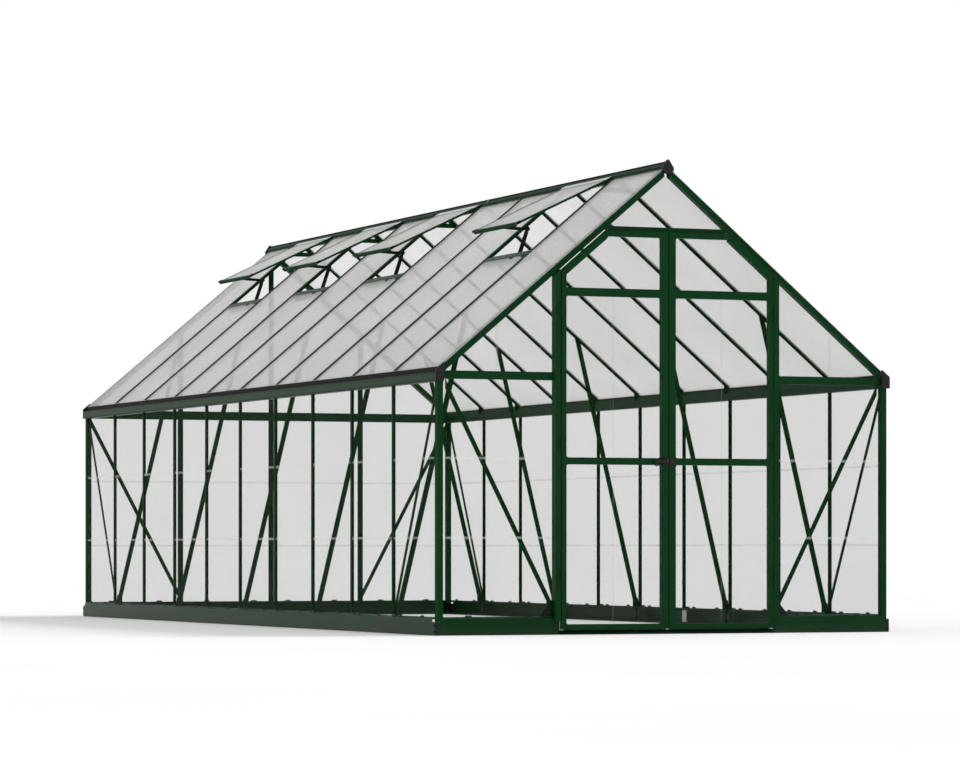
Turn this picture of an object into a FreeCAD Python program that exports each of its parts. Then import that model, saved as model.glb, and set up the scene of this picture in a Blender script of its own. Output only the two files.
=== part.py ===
import FreeCAD, Part
import math
import os

# Driving dimensions, in millimetres and degrees.
# X runs across the greenhouse, Y along it with the doors at -Y, Z up from the ground.

# Plan of the frame lines
long_pitch = 600.0
long_bays = 10
wide_pitch = 596.0
wide_bays = 4

# Heights and roof slope
base_height = 88.0
eave_height = 1220.0
rafter_seat = 80.0
roof_pitch = 40.0

# Base rails: folded C sections lying on the ground, open to the inside
base_width = 40.0
base_wall = 2.0
base_lip = 12.0
base_bevel_width = 13.0
base_bevel_drop = 8.0
base_side_overhang = 28.0
base_end_overhang = 20.0
corner_block_size = 22.0
post_lap = 22.0
anchor_inset = 300.0
anchor_radius = 4.5

# Clips that hold the wall panels down on the base
clip_length = 34.0
clip_reach = 8.0
clip_height = 7.0
clips_per_bay = 2
clip_first = 114.0
clip_pitch = 300.0
foot_clip_length = 40.0
gable_clip_first = 113.0
gable_clip_pitch = 310.0
gable_clips = 4

# Corner posts and wall mullions
post_width = 28.0
post_depth = 38.0
post_wall = 2.0
mullion_width = 22.0
gable_mullion_width = 32.0
mullion_depth = 16.0
mullion_flange = 2.0
mullion_stem = 4.0
wall_setout = 6.0

# Clear wall panels
panel_thickness = 1.5
slot_play = 0.4
panel_gap = 0.3
edge_play = 1.0

# Eave gutters and the bars across the gables at eave height
gutter_setback = 16.0
gutter_width = 44.0
gutter_wall = 3.0
gutter_inner_height = 60.0
gutter_outer_height = 42.0
gutter_cap_thickness = 11.0
front_bar_lift = 13.0
bar_top = 53.0

# Rafters and gable rafters
rafter_depth = 18.0
rafter_foot_width = 12.0
rafter_foot_lap = 20.0
gable_rafter_depth = 37.0
gable_rafter_top = 7.5
rafter_width = 22.0
rafter_cap = 3.0
rafter_shelf = 2.0
rafter_stem = 6.0
gable_rafter_wall = 2.0
gable_rafter_recess = 3.0
gable_rafter_lip = 8.0

# Twin-wall roof sheets
sheet_thickness = 4.0
sheet_skin = 0.6
sheet_cells = 8
sheet_overhang = 20.0
sheet_end_setback = 3.0

# Ridge beam, its end caps and the plates under it
ridge_web = 28.0
ridge_wing = 26.0
ridge_cover = 7.0
ridge_crest = 14.0
ridge_crest_half = 7.0
ridge_depth = 20.0
ridge_wall = 2.5
ridge_cap_thickness = 16.0
ridge_cap_rise = 10.0
ridge_cap_crest_half = 5.0
ridge_cap_half_width = 31.0
ridge_cap_shoulder = 16.0
ridge_cap_foot_half = 8.0
ridge_cap_height = 72.0
collar_drop = 88.0
collar_thickness = 3.0
collar_edge = 10.5
collar_bar = 25.0
collar_arm = 16.0
collar_bridge = 9.0
collar_half = 78.0

# Leaning braces between the base and the rafters, and the flat diagonal strips
brace_width = 26.0
brace_thickness = 8.0
brace_head = 812.0
strip_width = 16.0
strip_thickness = 2.0
strip_inset = 2.0
wall_strip_thickness = 7.0
strip_end_gap = 4.0
front_strip_lift = 18.0
front_strip_setback = 18.0

# Doorway: jambs, header and threshold
doorway_half = 573.0
jamb_width = 28.0
jamb_depth = 46.0
jamb_reach = 38.0
jamb_wall = 2.0
header_drop = 310.0
header_height = 18.0
header_depth = 29.0
threshold_height = 20.0
threshold_toe = 8.0
threshold_reach = 36.0
threshold_depth = 56.0
threshold_wall = 3.0
gusset_width = 70.0
gusset_height = 80.0
gusset_thickness = 4.0

# Door leaves
door_gap = 4.0
leaf_depth = 28.0
leaf_proud = 2.0
leaf_wall = 1.5
hinge_stile = 25.0
meeting_stile = 36.0
bottom_rail = 26.0
middle_rail = 34.0
middle_rail_height = 826.0
upper_rail = 40.0
upper_rail_drop = 80.0
top_rail = 30.0
chamfer_rail = 30.0
chamfer_gap = 8.0
pane_depth = 16.0

# Door hinges
hinge_count = 3
hinge_end = 220.0
knuckle_length = 30.0
knuckle_radius = 5.0
knuckle_gap = 0.5
hinge_plate_length = 24.0
hinge_plate = 2.0
pin_radius = 2.5
running_clearance = 0.05

# Latch: case and turning lever on the left leaf, keeper on the right leaf
latch_height = 32.0
latch_margin = 1.0
latch_case_depth = 12.0
spindle_radius = 6.0
spindle_end_gap = 0.5
lever_standoff = 8.0
lever_length = 66.0
lever_width = 16.0
lever_thickness = 9.0
eye_radius = 9.0
eye_hole_radius = 5.0
eye_drop = 6.5
keeper_depth = 9.0

# Roof vents on the left slope, counted in bays from the back
vent_bays = [2, 4, 6, 9]
vent_length = 565.0
vent_width = 596.0
vent_rail = 20.0
vent_thickness = 10.0
vent_open = 14.7
vent_lift = 1.0
bead_radius = 5.0
bead_clearance = 0.4
foot_rail_overhang = 6.0
vent_skirt = 8.0
vent_skirt_wall = 4.0
vent_skirt_play = 2.0
sill_down = 550.0
sill_width = 24.0
sill_top = 10.0
sill_depth = 36.0

# Elbow stays under the vents
stay_upper = 145.5
stay_lower = 164.0
stay_width = 12.0
stay_lower_width = 16.0
stay_thickness = 4.0
stay_side_gap = 1.0
stay_pin_radius = 2.5
stay_tab = 4.0
stay_tab_gap = 0.3
stay_vent_inset = 15.0
stay_vent_drop = 5.5
stay_sill_reach = 37.0
stay_sill_drop = 50.0

# Sizes and places that follow from the driving dimensions
half_length = long_pitch * long_bays / 2
half_width = wide_pitch * wide_bays / 2
slope = math.radians(roof_pitch)
rise = math.tan(slope)
upright = 1 / math.cos(slope)
apex = eave_height + rafter_seat + rise * half_width
base_half_length = half_length + base_end_overhang
base_half_width = half_width + base_side_overhang
frame_lines = [long_pitch * i - half_length for i in range(1, long_bays)]
gable_lines = [wide_pitch * i - half_width for i in range(1, wide_bays)]
post_side = half_width - post_width / 2
post_end = half_length - post_depth / 2
gable_face = half_length + post_depth / 2
gutter_face = half_width - gutter_setback
wall_line = half_width + wall_setout
post_foot = base_height - post_lap
bar_upper = eave_height + bar_top
stem_half = mullion_stem / 2
panel_in = mullion_depth / 2 - mullion_flange - slot_play / 2 - panel_thickness
panel_out = panel_in + panel_thickness


def roof_z(x, depth=0.0):
    """Height over x of a plane that lies depth below the rafter tops, square to the slope."""
    return apex - rise * abs(x) - depth * upright


def roof_x(z, depth=0.0):
    """Distance from the middle where that plane comes down to height z."""
    return (apex - depth * upright - z) / rise


ridge_bottom = roof_z(ridge_web / 2, ridge_depth)


def prism(corners, run):
    """A straight solid: the flat outline through the corners, moved along run."""
    points = [FreeCAD.Vector(*corner) for corner in corners]
    outline = Part.makePolygon(points + points[:1])
    return Part.Face(outline).extrude(FreeCAD.Vector(*run))


def pierced(outer, holes, run):
    """A straight solid with holes right through it, from outlines in one plane."""
    face = Part.Face(outer)
    for hole in holes:
        face = face.cut(Part.Face(hole))
    return face.Faces[0].extrude(run)


def tube(outer, inner, run):
    """A straight hollow solid between two outlines in one plane."""
    loops = []
    for corners in (outer, inner):
        points = [FreeCAD.Vector(*corner) for corner in corners]
        loops.append(Part.makePolygon(points + points[:1]))
    return pierced(loops[0], loops[1:], FreeCAD.Vector(*run))


def block(low, high):
    """A plain box between two corners."""
    sides = [top - bottom for bottom, top in zip(low, high)]
    return Part.makeBox(*sides, FreeCAD.Vector(*low))


def rod(radius, start, run):
    """A round bar from a point along a vector."""
    direction = FreeCAD.Vector(*run)
    return Part.makeCylinder(radius, direction.Length, FreeCAD.Vector(*start), direction)


def flip_x(solids):
    """The same pieces on the other side of the greenhouse."""
    return [solid.mirror(FreeCAD.Vector(), FreeCAD.Vector(1, 0, 0)) for solid in solids]


def flip_y(solids):
    """The same pieces at the other end of the greenhouse."""
    return [solid.mirror(FreeCAD.Vector(), FreeCAD.Vector(0, 1, 0)) for solid in solids]


def one_solid(shape):
    """The single solid that a cut or a joining leaves."""
    return shape.removeSplitter().Solids[0]


def under_slope(solid, depth):
    """Trim a piece to the space under a plane that lies depth below the rafter tops."""
    reach = 2 * half_width
    top = 2 * apex
    end = 2 * half_length
    outline = [(-reach, roof_z(reach, depth)), (0, roof_z(0, depth)), (reach, roof_z(reach, depth))]
    outline += [(reach, top), (-reach, top)]
    above = prism([(x, -end, z) for x, z in outline], (0, 2 * end, 0))
    return one_solid(solid.cut(above))


def under_gable(solid, gap=0.0):
    """Trim a piece to the space under the gable rafters, less a gap square to the slope."""
    return under_slope(solid, gable_rafter_depth + gap)


def save(name, solids):
    """Write one node, as one solid or as a group of separate solids."""
    shape = solids[0] if len(solids) == 1 else Part.makeCompound(solids)
    shape.exportStep(f"parts/{name}.step")


def base_section():
    """Outline of the base rail as (inward from the outer face, height)."""
    inner = base_width - base_wall
    top = base_height - base_wall
    return [(0, 0), (base_width, 0), (base_width, base_lip), (inner, base_lip), (inner, base_wall),
            (base_wall, base_wall), (base_wall, top - base_bevel_drop), (base_bevel_width, top),
            (inner, top), (inner, base_height - base_lip), (base_width, base_height - base_lip),
            (base_width, base_height), (base_bevel_width, base_height), (0, base_height - base_bevel_drop)]


def make_base():
    """Base rails round the ground, notched at the corners where the posts reach down."""
    side_end = base_half_length - corner_block_size
    gable_end = base_half_width - corner_block_size
    far = 2 * half_length
    high = 2 * base_height
    side = prism([(base_half_width - d, -side_end, z) for d, z in base_section()], (0, 2 * side_end, 0))
    for end in (-1, 1):
        seat = sorted([end * (post_end - panel_gap), end * far])
        side = side.cut(block((0, seat[0], post_foot), (far, seat[1], high)))
        anchor = (half_width, end * (half_length - anchor_inset), -base_wall)
        side = side.cut(rod(anchor_radius, anchor, (0, 0, 3 * base_wall)))
    side = one_solid(side)
    save("base_rails_long", [side] + flip_x([side]))

    # At its ends a gable rail keeps only a tongue in front of the long rail.
    def gable_rail(start, stop):
        rail = prism([(start, d - base_half_length, z) for d, z in base_section()], (stop - start, 0, 0))
        for sign in (-1, 1):
            seat = sorted([sign * (post_side - panel_gap), sign * far])
            rail = rail.cut(block((seat[0], -far, post_foot), (seat[1], 0, high)))
            lap = sorted([sign * (base_half_width - base_width), sign * far])
            rail = rail.cut(block((lap[0], -side_end, -high), (lap[1], 0, high)))
        return one_solid(rail)

    back = gable_rail(-gable_end, gable_end)
    front = gable_rail(doorway_half, gable_end)
    save("base_rails_gable", flip_y([back]) + [front] + flip_x([front]))
    corner = block((gable_end, side_end, 0), (base_half_width, base_half_length, post_foot))
    pair = [corner] + flip_x([corner])
    save("base_corner_blocks", pair + flip_y(pair))


def clip_outline(overhang, setout):
    """Outline of a panel clip as (outward from the frame line, height), bent over the sloped edge."""
    near = setout + panel_out + panel_gap
    edge = overhang - base_bevel_width
    tip = edge + clip_reach
    low = base_height - clip_reach * base_bevel_drop / base_bevel_width
    top = base_height + clip_height
    return [(near, base_height), (edge, base_height), (tip, low), (tip, low + clip_height / 2),
            (edge, top), (near, top)]


def make_clips():
    """Small clips on the base, against the outside of the wall panels and beside each mullion."""
    side_outline = clip_outline(base_side_overhang, wall_setout)
    gable_outline = clip_outline(base_end_overhang, 0)

    def side_clip(middle, length):
        start = middle - length / 2
        return prism([(half_width + out, start, z) for out, z in side_outline], (0, length, 0))

    def gable_clip(middle):
        start = middle - clip_length / 2
        return prism([(start, half_length + out, z) for out, z in gable_outline], (clip_length, 0, 0))

    sides = []
    for bay in range(long_bays):
        back = (bay + 1) * long_pitch - half_length
        for i in range(clips_per_bay):
            sides.append(side_clip(back - clip_first - clip_pitch * i, clip_length))
    for y in frame_lines:
        middle = y - mullion_width / 2 - panel_gap - foot_clip_length / 2
        sides.append(side_clip(middle, foot_clip_length))

    places = [gable_clip_first + gable_clip_pitch * i for i in range(gable_clips)]
    beside_door = [gable_clip(x) for x in places if x > doorway_half + jamb_width]
    ends = [gable_clip(x) for x in places] + flip_y(beside_door)
    save("panel_clips", sides + flip_x(sides) + ends + flip_x(ends))


def make_posts():
    """Hollow corner posts that stand on the corner blocks and carry the gutters."""
    def ring(inset):
        x0, x1 = post_side + inset, half_width + post_width / 2 - inset
        y0, y1 = post_end + inset, gable_face - inset
        return [(x0, y0, post_foot), (x1, y0, post_foot), (x1, y1, post_foot), (x0, y1, post_foot)]

    post = tube(ring(0), ring(post_wall), (0, 0, eave_height - post_foot))
    pair = [post] + flip_x([post])
    save("corner_posts", pair + flip_y(pair))


def mullion_section(width):
    """Outline of a mullion as (across, outward), with a slot for a panel edge on each side."""
    half = width / 2
    face = mullion_depth / 2
    lip = face - mullion_flange
    shelf = lip - slot_play - panel_thickness
    right = [(half, face), (half, lip), (stem_half, lip), (stem_half, shelf), (half, shelf),
             (half, shelf - mullion_flange), (stem_half, shelf - mullion_flange), (stem_half, -face)]
    return right + [(-across, out) for across, out in reversed(right)]


def make_mullions():
    """Upright bars between the clear panels, on the long walls and the back gable."""
    section = mullion_section(mullion_width)
    walls = []
    for y in frame_lines:
        corners = [(wall_line + out, y + across, base_height) for across, out in section]
        walls.append(prism(corners, (0, 0, eave_height - base_height)))
    save("wall_mullions_right", walls)
    save("wall_mullions_left", flip_x(walls))

    section = mullion_section(gable_mullion_width)
    gables = []
    for x in gable_lines:
        corners = [(x + across, half_length + out, base_height) for across, out in section]
        gables.append(prism(corners, (0, 0, eave_height - base_height)))
        corners = [(x + across, half_length + out, bar_upper) for across, out in section]
        upper = prism(corners, (0, 0, ridge_bottom - bar_upper))
        gables.append(under_gable(upper))
    save("back_mullions", gables)


def make_wall_panels():
    """Clear sheets held in the mullion slots of the long walls."""
    edges = [-half_length] + frame_lines + [half_length]
    inset_end = post_depth / 2 + panel_gap
    inset_line = stem_half + edge_play
    panels = []
    for start, stop in zip(edges, edges[1:]):
        y0 = start + (inset_end if start == -half_length else inset_line)
        y1 = stop - (inset_end if stop == half_length else inset_line)
        low = (wall_line + panel_in, y0, base_height + panel_gap)
        panels.append(block(low, (wall_line + panel_out, y1, eave_height - panel_gap)))
    save("wall_panels_right", panels)
    save("wall_panels_left", flip_x(panels))


def gable_panel(x0, x1, z0, z1):
    """Clear sheet in the plane of the back gable, trimmed under its rafters."""
    low = (x0, half_length + panel_in, z0 + panel_gap)
    return under_gable(block(low, (x1, half_length + panel_out, z1 - panel_gap)), panel_gap)


def make_gable_panels():
    """Clear sheets of the two gables."""
    side = post_side - panel_gap
    slot = stem_half + edge_play
    edges = [-side - slot] + gable_lines + [side + slot]
    back = []
    for start, stop in zip(edges, edges[1:]):
        back.append(gable_panel(start + slot, stop - slot, base_height, eave_height))
        back.append(gable_panel(start + slot, stop - slot, bar_upper, ridge_bottom))
    save("gable_panels_back", back)

    # The front sheets reach past the gutters, up to the bars beside the jambs.
    side = min(post_side, gutter_face) - panel_gap
    jamb_side = doorway_half + jamb_width + panel_gap
    front = [gable_panel(jamb_side, side, base_height, eave_height + front_bar_lift),
             gable_panel(jamb_side, side, bar_upper, ridge_bottom)]
    front += flip_x(front)
    header_top = apex - header_drop
    reach = roof_x(header_top, gable_rafter_depth)
    front.append(gable_panel(-reach, reach, header_top, ridge_bottom))
    save("gable_panels_front", flip_y(front))


def make_gutters():
    """Eave gutters along the long walls, with black end caps, and the bars across the gables."""
    x0, x1 = gutter_face, gutter_face + gutter_width
    floor = eave_height + gutter_wall
    inner_top = eave_height + gutter_inner_height
    outer_top = eave_height + gutter_outer_height
    outline = [(x0, eave_height), (x1, eave_height), (x1, outer_top), (x1 - gutter_wall, outer_top),
               (x1 - gutter_wall, floor), (x0 + gutter_wall, floor), (x0 + gutter_wall, inner_top),
               (x0, inner_top)]
    gutter = prism([(x, -gable_face, z) for x, z in outline], (0, 2 * gable_face, 0))
    save("gutter_right", [gutter])
    save("gutter_left", flip_x([gutter]))

    cap_outline = [(x0, eave_height), (x1, eave_height), (x1, roof_z(x1)), (x0, roof_z(x0))]
    cap = prism([(x, gable_face, z) for x, z in cap_outline], (0, gutter_cap_thickness, 0))
    pair = [cap] + flip_x([cap])
    save("gutter_end_caps", pair + flip_y(pair))

    depth = mullion_depth / 2
    low = (-gutter_face, half_length - depth, eave_height)
    back = under_gable(block(low, (gutter_face, half_length + depth, bar_upper)))
    low = (doorway_half + jamb_width, -half_length - depth, eave_height + front_bar_lift)
    front = under_gable(block(low, (gutter_face, depth - half_length, bar_upper)))
    save("gable_eave_bars", [back, front] + flip_x([front]))


def sloped(section, y, x_low, x_high):
    """A bar up the right-hand slope with upright ends. The section is (across, depth)."""
    corners = [(x_low, y + across, roof_z(x_low, depth)) for across, depth in section]
    return prism(corners, (x_high - x_low, 0, rise * (x_low - x_high)))


def make_rafters():
    """Rafters with slots for the roof sheets and a foot on the gutter, and hollow gable rafters."""
    half = rafter_width / 2
    stem = rafter_stem / 2
    slot_end = rafter_cap + sheet_thickness + slot_play
    right = [(half, 0), (half, rafter_cap), (stem, rafter_cap), (stem, slot_end), (half, slot_end),
             (half, slot_end + rafter_shelf), (stem, slot_end + rafter_shelf), (stem, rafter_depth)]
    section = right + [(-across, depth) for across, depth in reversed(right)]
    foot_low = eave_height + gutter_inner_height - rafter_foot_lap
    foot_high = roof_z(gutter_face, rafter_depth / 2)
    rafters = []
    for y in frame_lines:
        bar = sloped(section, y, half_width, ridge_web / 2)
        foot = block((gutter_face - rafter_foot_width, y - stem, foot_low), (gutter_face, y + stem, foot_high))
        rafters.append(one_solid(bar.fuse(foot)))
    save("rafters_right", rafters)
    save("rafters_left", flip_x(rafters))

    face = post_depth / 2
    near = -face
    step = face - gable_rafter_recess
    top = gable_rafter_top
    upper_lip = top + gable_rafter_lip
    lower_lip = gable_rafter_depth - gable_rafter_lip
    outer = [(near, top), (face, top), (face, upper_lip), (step, upper_lip + gable_rafter_recess),
             (step, lower_lip - gable_rafter_recess), (face, lower_lip), (face, gable_rafter_depth),
             (near, gable_rafter_depth)]
    wall = gable_rafter_wall
    inner = [(near + wall, top + wall), (step - wall, top + wall), (step - wall, gable_rafter_depth - wall),
             (near + wall, gable_rafter_depth - wall)]
    loops = [[(gutter_face, half_length + across, roof_z(gutter_face, depth)) for across, depth in loop]
             for loop in (outer, inner)]
    run_x = gutter_face - ridge_web / 2
    gable = tube(loops[0], loops[1], (-run_x, 0, rise * run_x))
    pair = [gable] + flip_x([gable])
    save("gable_rafters", pair + flip_y(pair))


def fluted_sheet(corner, width, thick, run):
    """Twin-wall sheet: two skins and upright webs, with flutes that run along run."""
    start = FreeCAD.Vector(*corner)
    through = FreeCAD.Vector(*thick)

    def loop(y0, y1, near, far):
        ends = [(y0, near), (y1, near), (y1, far), (y0, far), (y0, near)]
        return Part.makePolygon([start + FreeCAD.Vector(0, y, 0) + through * share for y, share in ends])

    skin = sheet_skin / sheet_thickness
    cell = (width - sheet_skin) / sheet_cells
    flutes = []
    for i in range(sheet_cells):
        web_end = sheet_skin + cell * i
        flutes.append(loop(web_end, web_end + cell - sheet_skin, skin, 1 - skin))
    return pierced(loop(0, width, 0, 1), flutes, FreeCAD.Vector(*run))


def roof_sheet(y0, y1, x_high):
    """Roof sheet of one bay on the right-hand slope, from over the gutter up to x_high."""
    x_low = gutter_face + sheet_overhang
    top = rafter_cap + slot_play / 2
    corner = (x_low, y0, roof_z(x_low, top))
    thick = (0, 0, -sheet_thickness * upright)
    return fluted_sheet(corner, y1 - y0, thick, (x_high - x_low, 0, rise * (x_low - x_high)))


def vent_line(bay):
    """Middle of a roof vent along the greenhouse, for a bay counted from the back."""
    return half_length - long_pitch * (bay - 0.5)


def sill_edges():
    """Upper and lower edge of the vent sills, as distances from the middle."""
    upper = hinge_x + sill_down * math.cos(slope)
    return upper, upper + sill_width


def make_roof():
    """Twin-wall sheets of both slopes. Under a vent the sheet stops at the vent's sill."""
    edges = [-half_length] + frame_lines + [half_length]
    inset_end = sheet_end_setback - post_depth / 2
    inset_line = rafter_stem / 2 + edge_play
    vent_lines = [vent_line(bay) for bay in vent_bays]
    right = []
    left = []
    for start, stop in zip(edges, edges[1:]):
        y0 = start + (inset_end if start == -half_length else inset_line)
        y1 = stop - (inset_end if stop == half_length else inset_line)
        vented = any(start < line < stop for line in vent_lines)
        right.append(roof_sheet(y0, y1, ridge_web / 2 + panel_gap))
        left.append(roof_sheet(y0, y1, sill_edges()[1] + panel_gap) if vented else right[-1])
    save("roof_panels_right", right)
    save("roof_panels_left", flip_x(left))


def make_ridge():
    """Hollow ridge beam with wings over the rafter heads, its end caps and the collar plates."""
    web = ridge_web / 2
    crest = apex + ridge_crest
    right = [(ridge_crest_half, crest), (ridge_wing, roof_z(ridge_wing) + ridge_cover),
             (ridge_wing, roof_z(ridge_wing)), (web, roof_z(web)), (web, ridge_bottom)]
    outline = right + [(-x, z) for x, z in reversed(right)]
    inside = web - ridge_wall
    hollow = [(0, crest - 2 * ridge_wall), (inside, roof_z(inside) - ridge_wall),
              (inside, ridge_bottom + ridge_wall)]
    hollow += [(-x, z) for x, z in reversed(hollow[1:])]
    ridge = tube([(x, -gable_face, z) for x, z in outline], [(x, -gable_face, z) for x, z in hollow],
                 (0, 2 * gable_face, 0))
    save("ridge_beam", [ridge])

    cap_top = crest + ridge_cap_rise
    half = ridge_cap_half_width
    shoulder = roof_z(half) + ridge_cap_rise
    right = [(ridge_cap_crest_half, cap_top), (half, shoulder), (half, shoulder - ridge_cap_shoulder),
             (ridge_cap_foot_half, cap_top - ridge_cap_height)]
    outline = right + [(-x, z) for x, z in reversed(right)]
    cap = prism([(x, gable_face, z) for x, z in outline], (0, ridge_cap_thickness, 0))
    save("ridge_end_caps", [cap] + flip_y([cap]))

    # Each collar plate is bolted to the side of a braced rafter pair, under the ridge.
    low = apex - collar_drop
    head = web + panel_gap
    right = [(collar_half, low), (collar_half, roof_z(collar_half, collar_edge)),
             (head, roof_z(head, collar_edge)), (head, ridge_bottom - panel_gap)]
    outline = right + [(-x, z) for x, z in reversed(right)]
    window_low = low + collar_bar
    window_high = ridge_bottom - panel_gap - collar_bridge
    low_half = roof_x(window_low, collar_edge + collar_arm)
    high_half = roof_x(window_high, collar_edge + collar_arm)
    window = [(-low_half, window_low), (low_half, window_low),
              (high_half, window_high), (-high_half, window_high)]
    plates = []
    for y in frame_lines[::2]:
        side = y + rafter_stem / 2
        plates.append(tube([(x, side, z) for x, z in outline], [(x, side, z) for x, z in window],
                           (0, collar_thickness, 0)))
    save("ridge_collar_plates", plates)


def make_braces():
    """Leaning braces on every second frame line, from the base up to the rafters."""
    foot = wall_line - mullion_depth / 2 - brace_width / 2
    head_z = roof_z(brace_head, rafter_depth)
    lean = (foot - brace_head) / (head_z - base_height)
    half = brace_width / 2
    top = head_z + brace_width
    head = foot - lean * (top - base_height)
    braces = []
    for y in frame_lines[::2]:
        front = y - brace_thickness / 2
        corners = [(foot - half, front, base_height), (foot + half, front, base_height),
                   (head + half, front, top), (head - half, front, top)]
        braces.append(under_slope(prism(corners, (0, brace_thickness, 0)), rafter_depth))
    save("leaning_braces", braces + flip_x(braces))


def strip_heights(run):
    """Upright width of a diagonal strip, and its lower edge at the foot and at the head."""
    rise_to_head = eave_height - base_height - 2 * strip_end_gap
    width = strip_width * math.hypot(run, rise_to_head) / run
    return width, base_height + strip_end_gap, eave_height - strip_end_gap - width


def make_strips():
    """Flat diagonal strips across the corner bays of the gables and of the long walls."""
    def gable_strip(foot_x, head_x, middle_y, low, high, width):
        y0 = middle_y - strip_inset
        corners = [(foot_x, y0, low), (foot_x, y0 + strip_thickness, low),
                   (foot_x, y0 + strip_thickness, low + width), (foot_x, y0, low + width)]
        return prism(corners, (head_x - foot_x, 0, high - low))

    # The front strips start above the gussets of the jambs and end under the eave bars.
    foot_x = doorway_half + jamb_width
    head_x = post_side - front_strip_setback
    width = strip_heights(head_x - foot_x)[0]
    low = base_height + front_strip_lift
    high = eave_height + front_bar_lift - strip_end_gap - width
    front = gable_strip(foot_x, head_x, -half_length, low, high, width)
    foot_x = gable_lines[-1] + stem_half
    width, low, high = strip_heights(post_side - foot_x)
    back = gable_strip(foot_x, post_side, half_length, low, high, width)
    save("gable_strips", [front, back] + flip_x([front, back]))

    foot_y = frame_lines[-1] + stem_half
    width, low, high = strip_heights(post_end - foot_y)
    x0 = half_width - strip_inset
    x1 = x0 + wall_strip_thickness
    corners = [(x0, foot_y, low), (x1, foot_y, low), (x1, foot_y, low + width), (x0, foot_y, low + width)]
    wall = prism(corners, (0, post_end - foot_y, high - low))
    pair = [wall] + flip_x([wall])
    save("wall_strips", pair + flip_y(pair))


jamb_front = -(half_length + jamb_reach)
leaf_front = jamb_front - leaf_proud
leaf_back = leaf_front + leaf_depth
header_bottom = apex - header_drop - header_height
leaf_bottom = threshold_height + door_gap
leaf_top = header_bottom - door_gap
leaf_inner = door_gap / 2
leaf_outer = doorway_half - door_gap
hinge_inner = leaf_outer - hinge_stile
meeting_outer = leaf_inner + meeting_stile


def make_doorway():
    """Hollow jambs standing on the base, header between the rafters, threshold and foot gussets."""
    x0, x1 = doorway_half, doorway_half + jamb_width

    def ring(inset):
        y0, y1 = jamb_front + inset, jamb_front + jamb_depth - inset
        return [(x0 + inset, y0, base_height), (x1 - inset, y0, base_height),
                (x1 - inset, y1, base_height), (x0 + inset, y1, base_height)]

    jamb = under_gable(tube(ring(0), ring(jamb_wall), (0, 0, apex - base_height)))
    foot = block((x0, jamb_front, post_foot), (x1, -base_half_length, base_height))
    jamb = one_solid(jamb.fuse(foot))
    save("door_jambs", [jamb] + flip_x([jamb]))

    reach = roof_x(header_bottom, gable_rafter_depth)
    low = (-reach, -gable_face, header_bottom)
    header = block(low, (reach, header_depth - gable_face, header_bottom + header_height))
    save("door_header", [under_gable(header)])

    front = -(half_length + threshold_reach)
    back = front + threshold_depth
    ramp = threshold_height - threshold_toe
    wall = threshold_wall
    outline = [(front, 0), (front, threshold_toe), (front + ramp, threshold_height), (back, threshold_height),
               (back, 0), (back - wall, 0), (back - wall, threshold_height - wall),
               (front + ramp + wall, threshold_height - wall), (front + wall, threshold_toe - wall / 2),
               (front + wall, 0)]
    threshold = prism([(-doorway_half, y, z) for y, z in outline], (2 * doorway_half, 0, 0))
    save("door_threshold", [threshold])

    gusset_y = panel_gap - half_length
    corners = [(x1, gusset_y, base_height), (x1 + gusset_width, gusset_y, base_height),
               (x1, gusset_y, base_height + gusset_height)]
    gusset = prism(corners, (0, gusset_thickness, 0))
    save("jamb_foot_gussets", [gusset] + flip_x([gusset]))


def flat_tube(x0, x1, z0, z1):
    """Hollow door rail between two stiles of the right-hand leaf."""
    def ring(inset):
        y0, y1 = leaf_front + inset, leaf_back - inset
        return [(x0, y0, z0 + inset), (x0, y1, z0 + inset), (x0, y1, z1 - inset), (x0, y0, z1 - inset)]

    return tube(ring(0), ring(leaf_wall), (x1 - x0, 0, 0))


def stile_tube(x0, x1, z1):
    """Hollow upright of the right-hand leaf."""
    def ring(inset):
        y0, y1 = leaf_front + inset, leaf_back - inset
        return [(x0 + inset, y0, leaf_bottom), (x1 - inset, y0, leaf_bottom),
                (x1 - inset, y1, leaf_bottom), (x0 + inset, y1, leaf_bottom)]

    return tube(ring(0), ring(leaf_wall), (0, 0, z1 - leaf_bottom))


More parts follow.
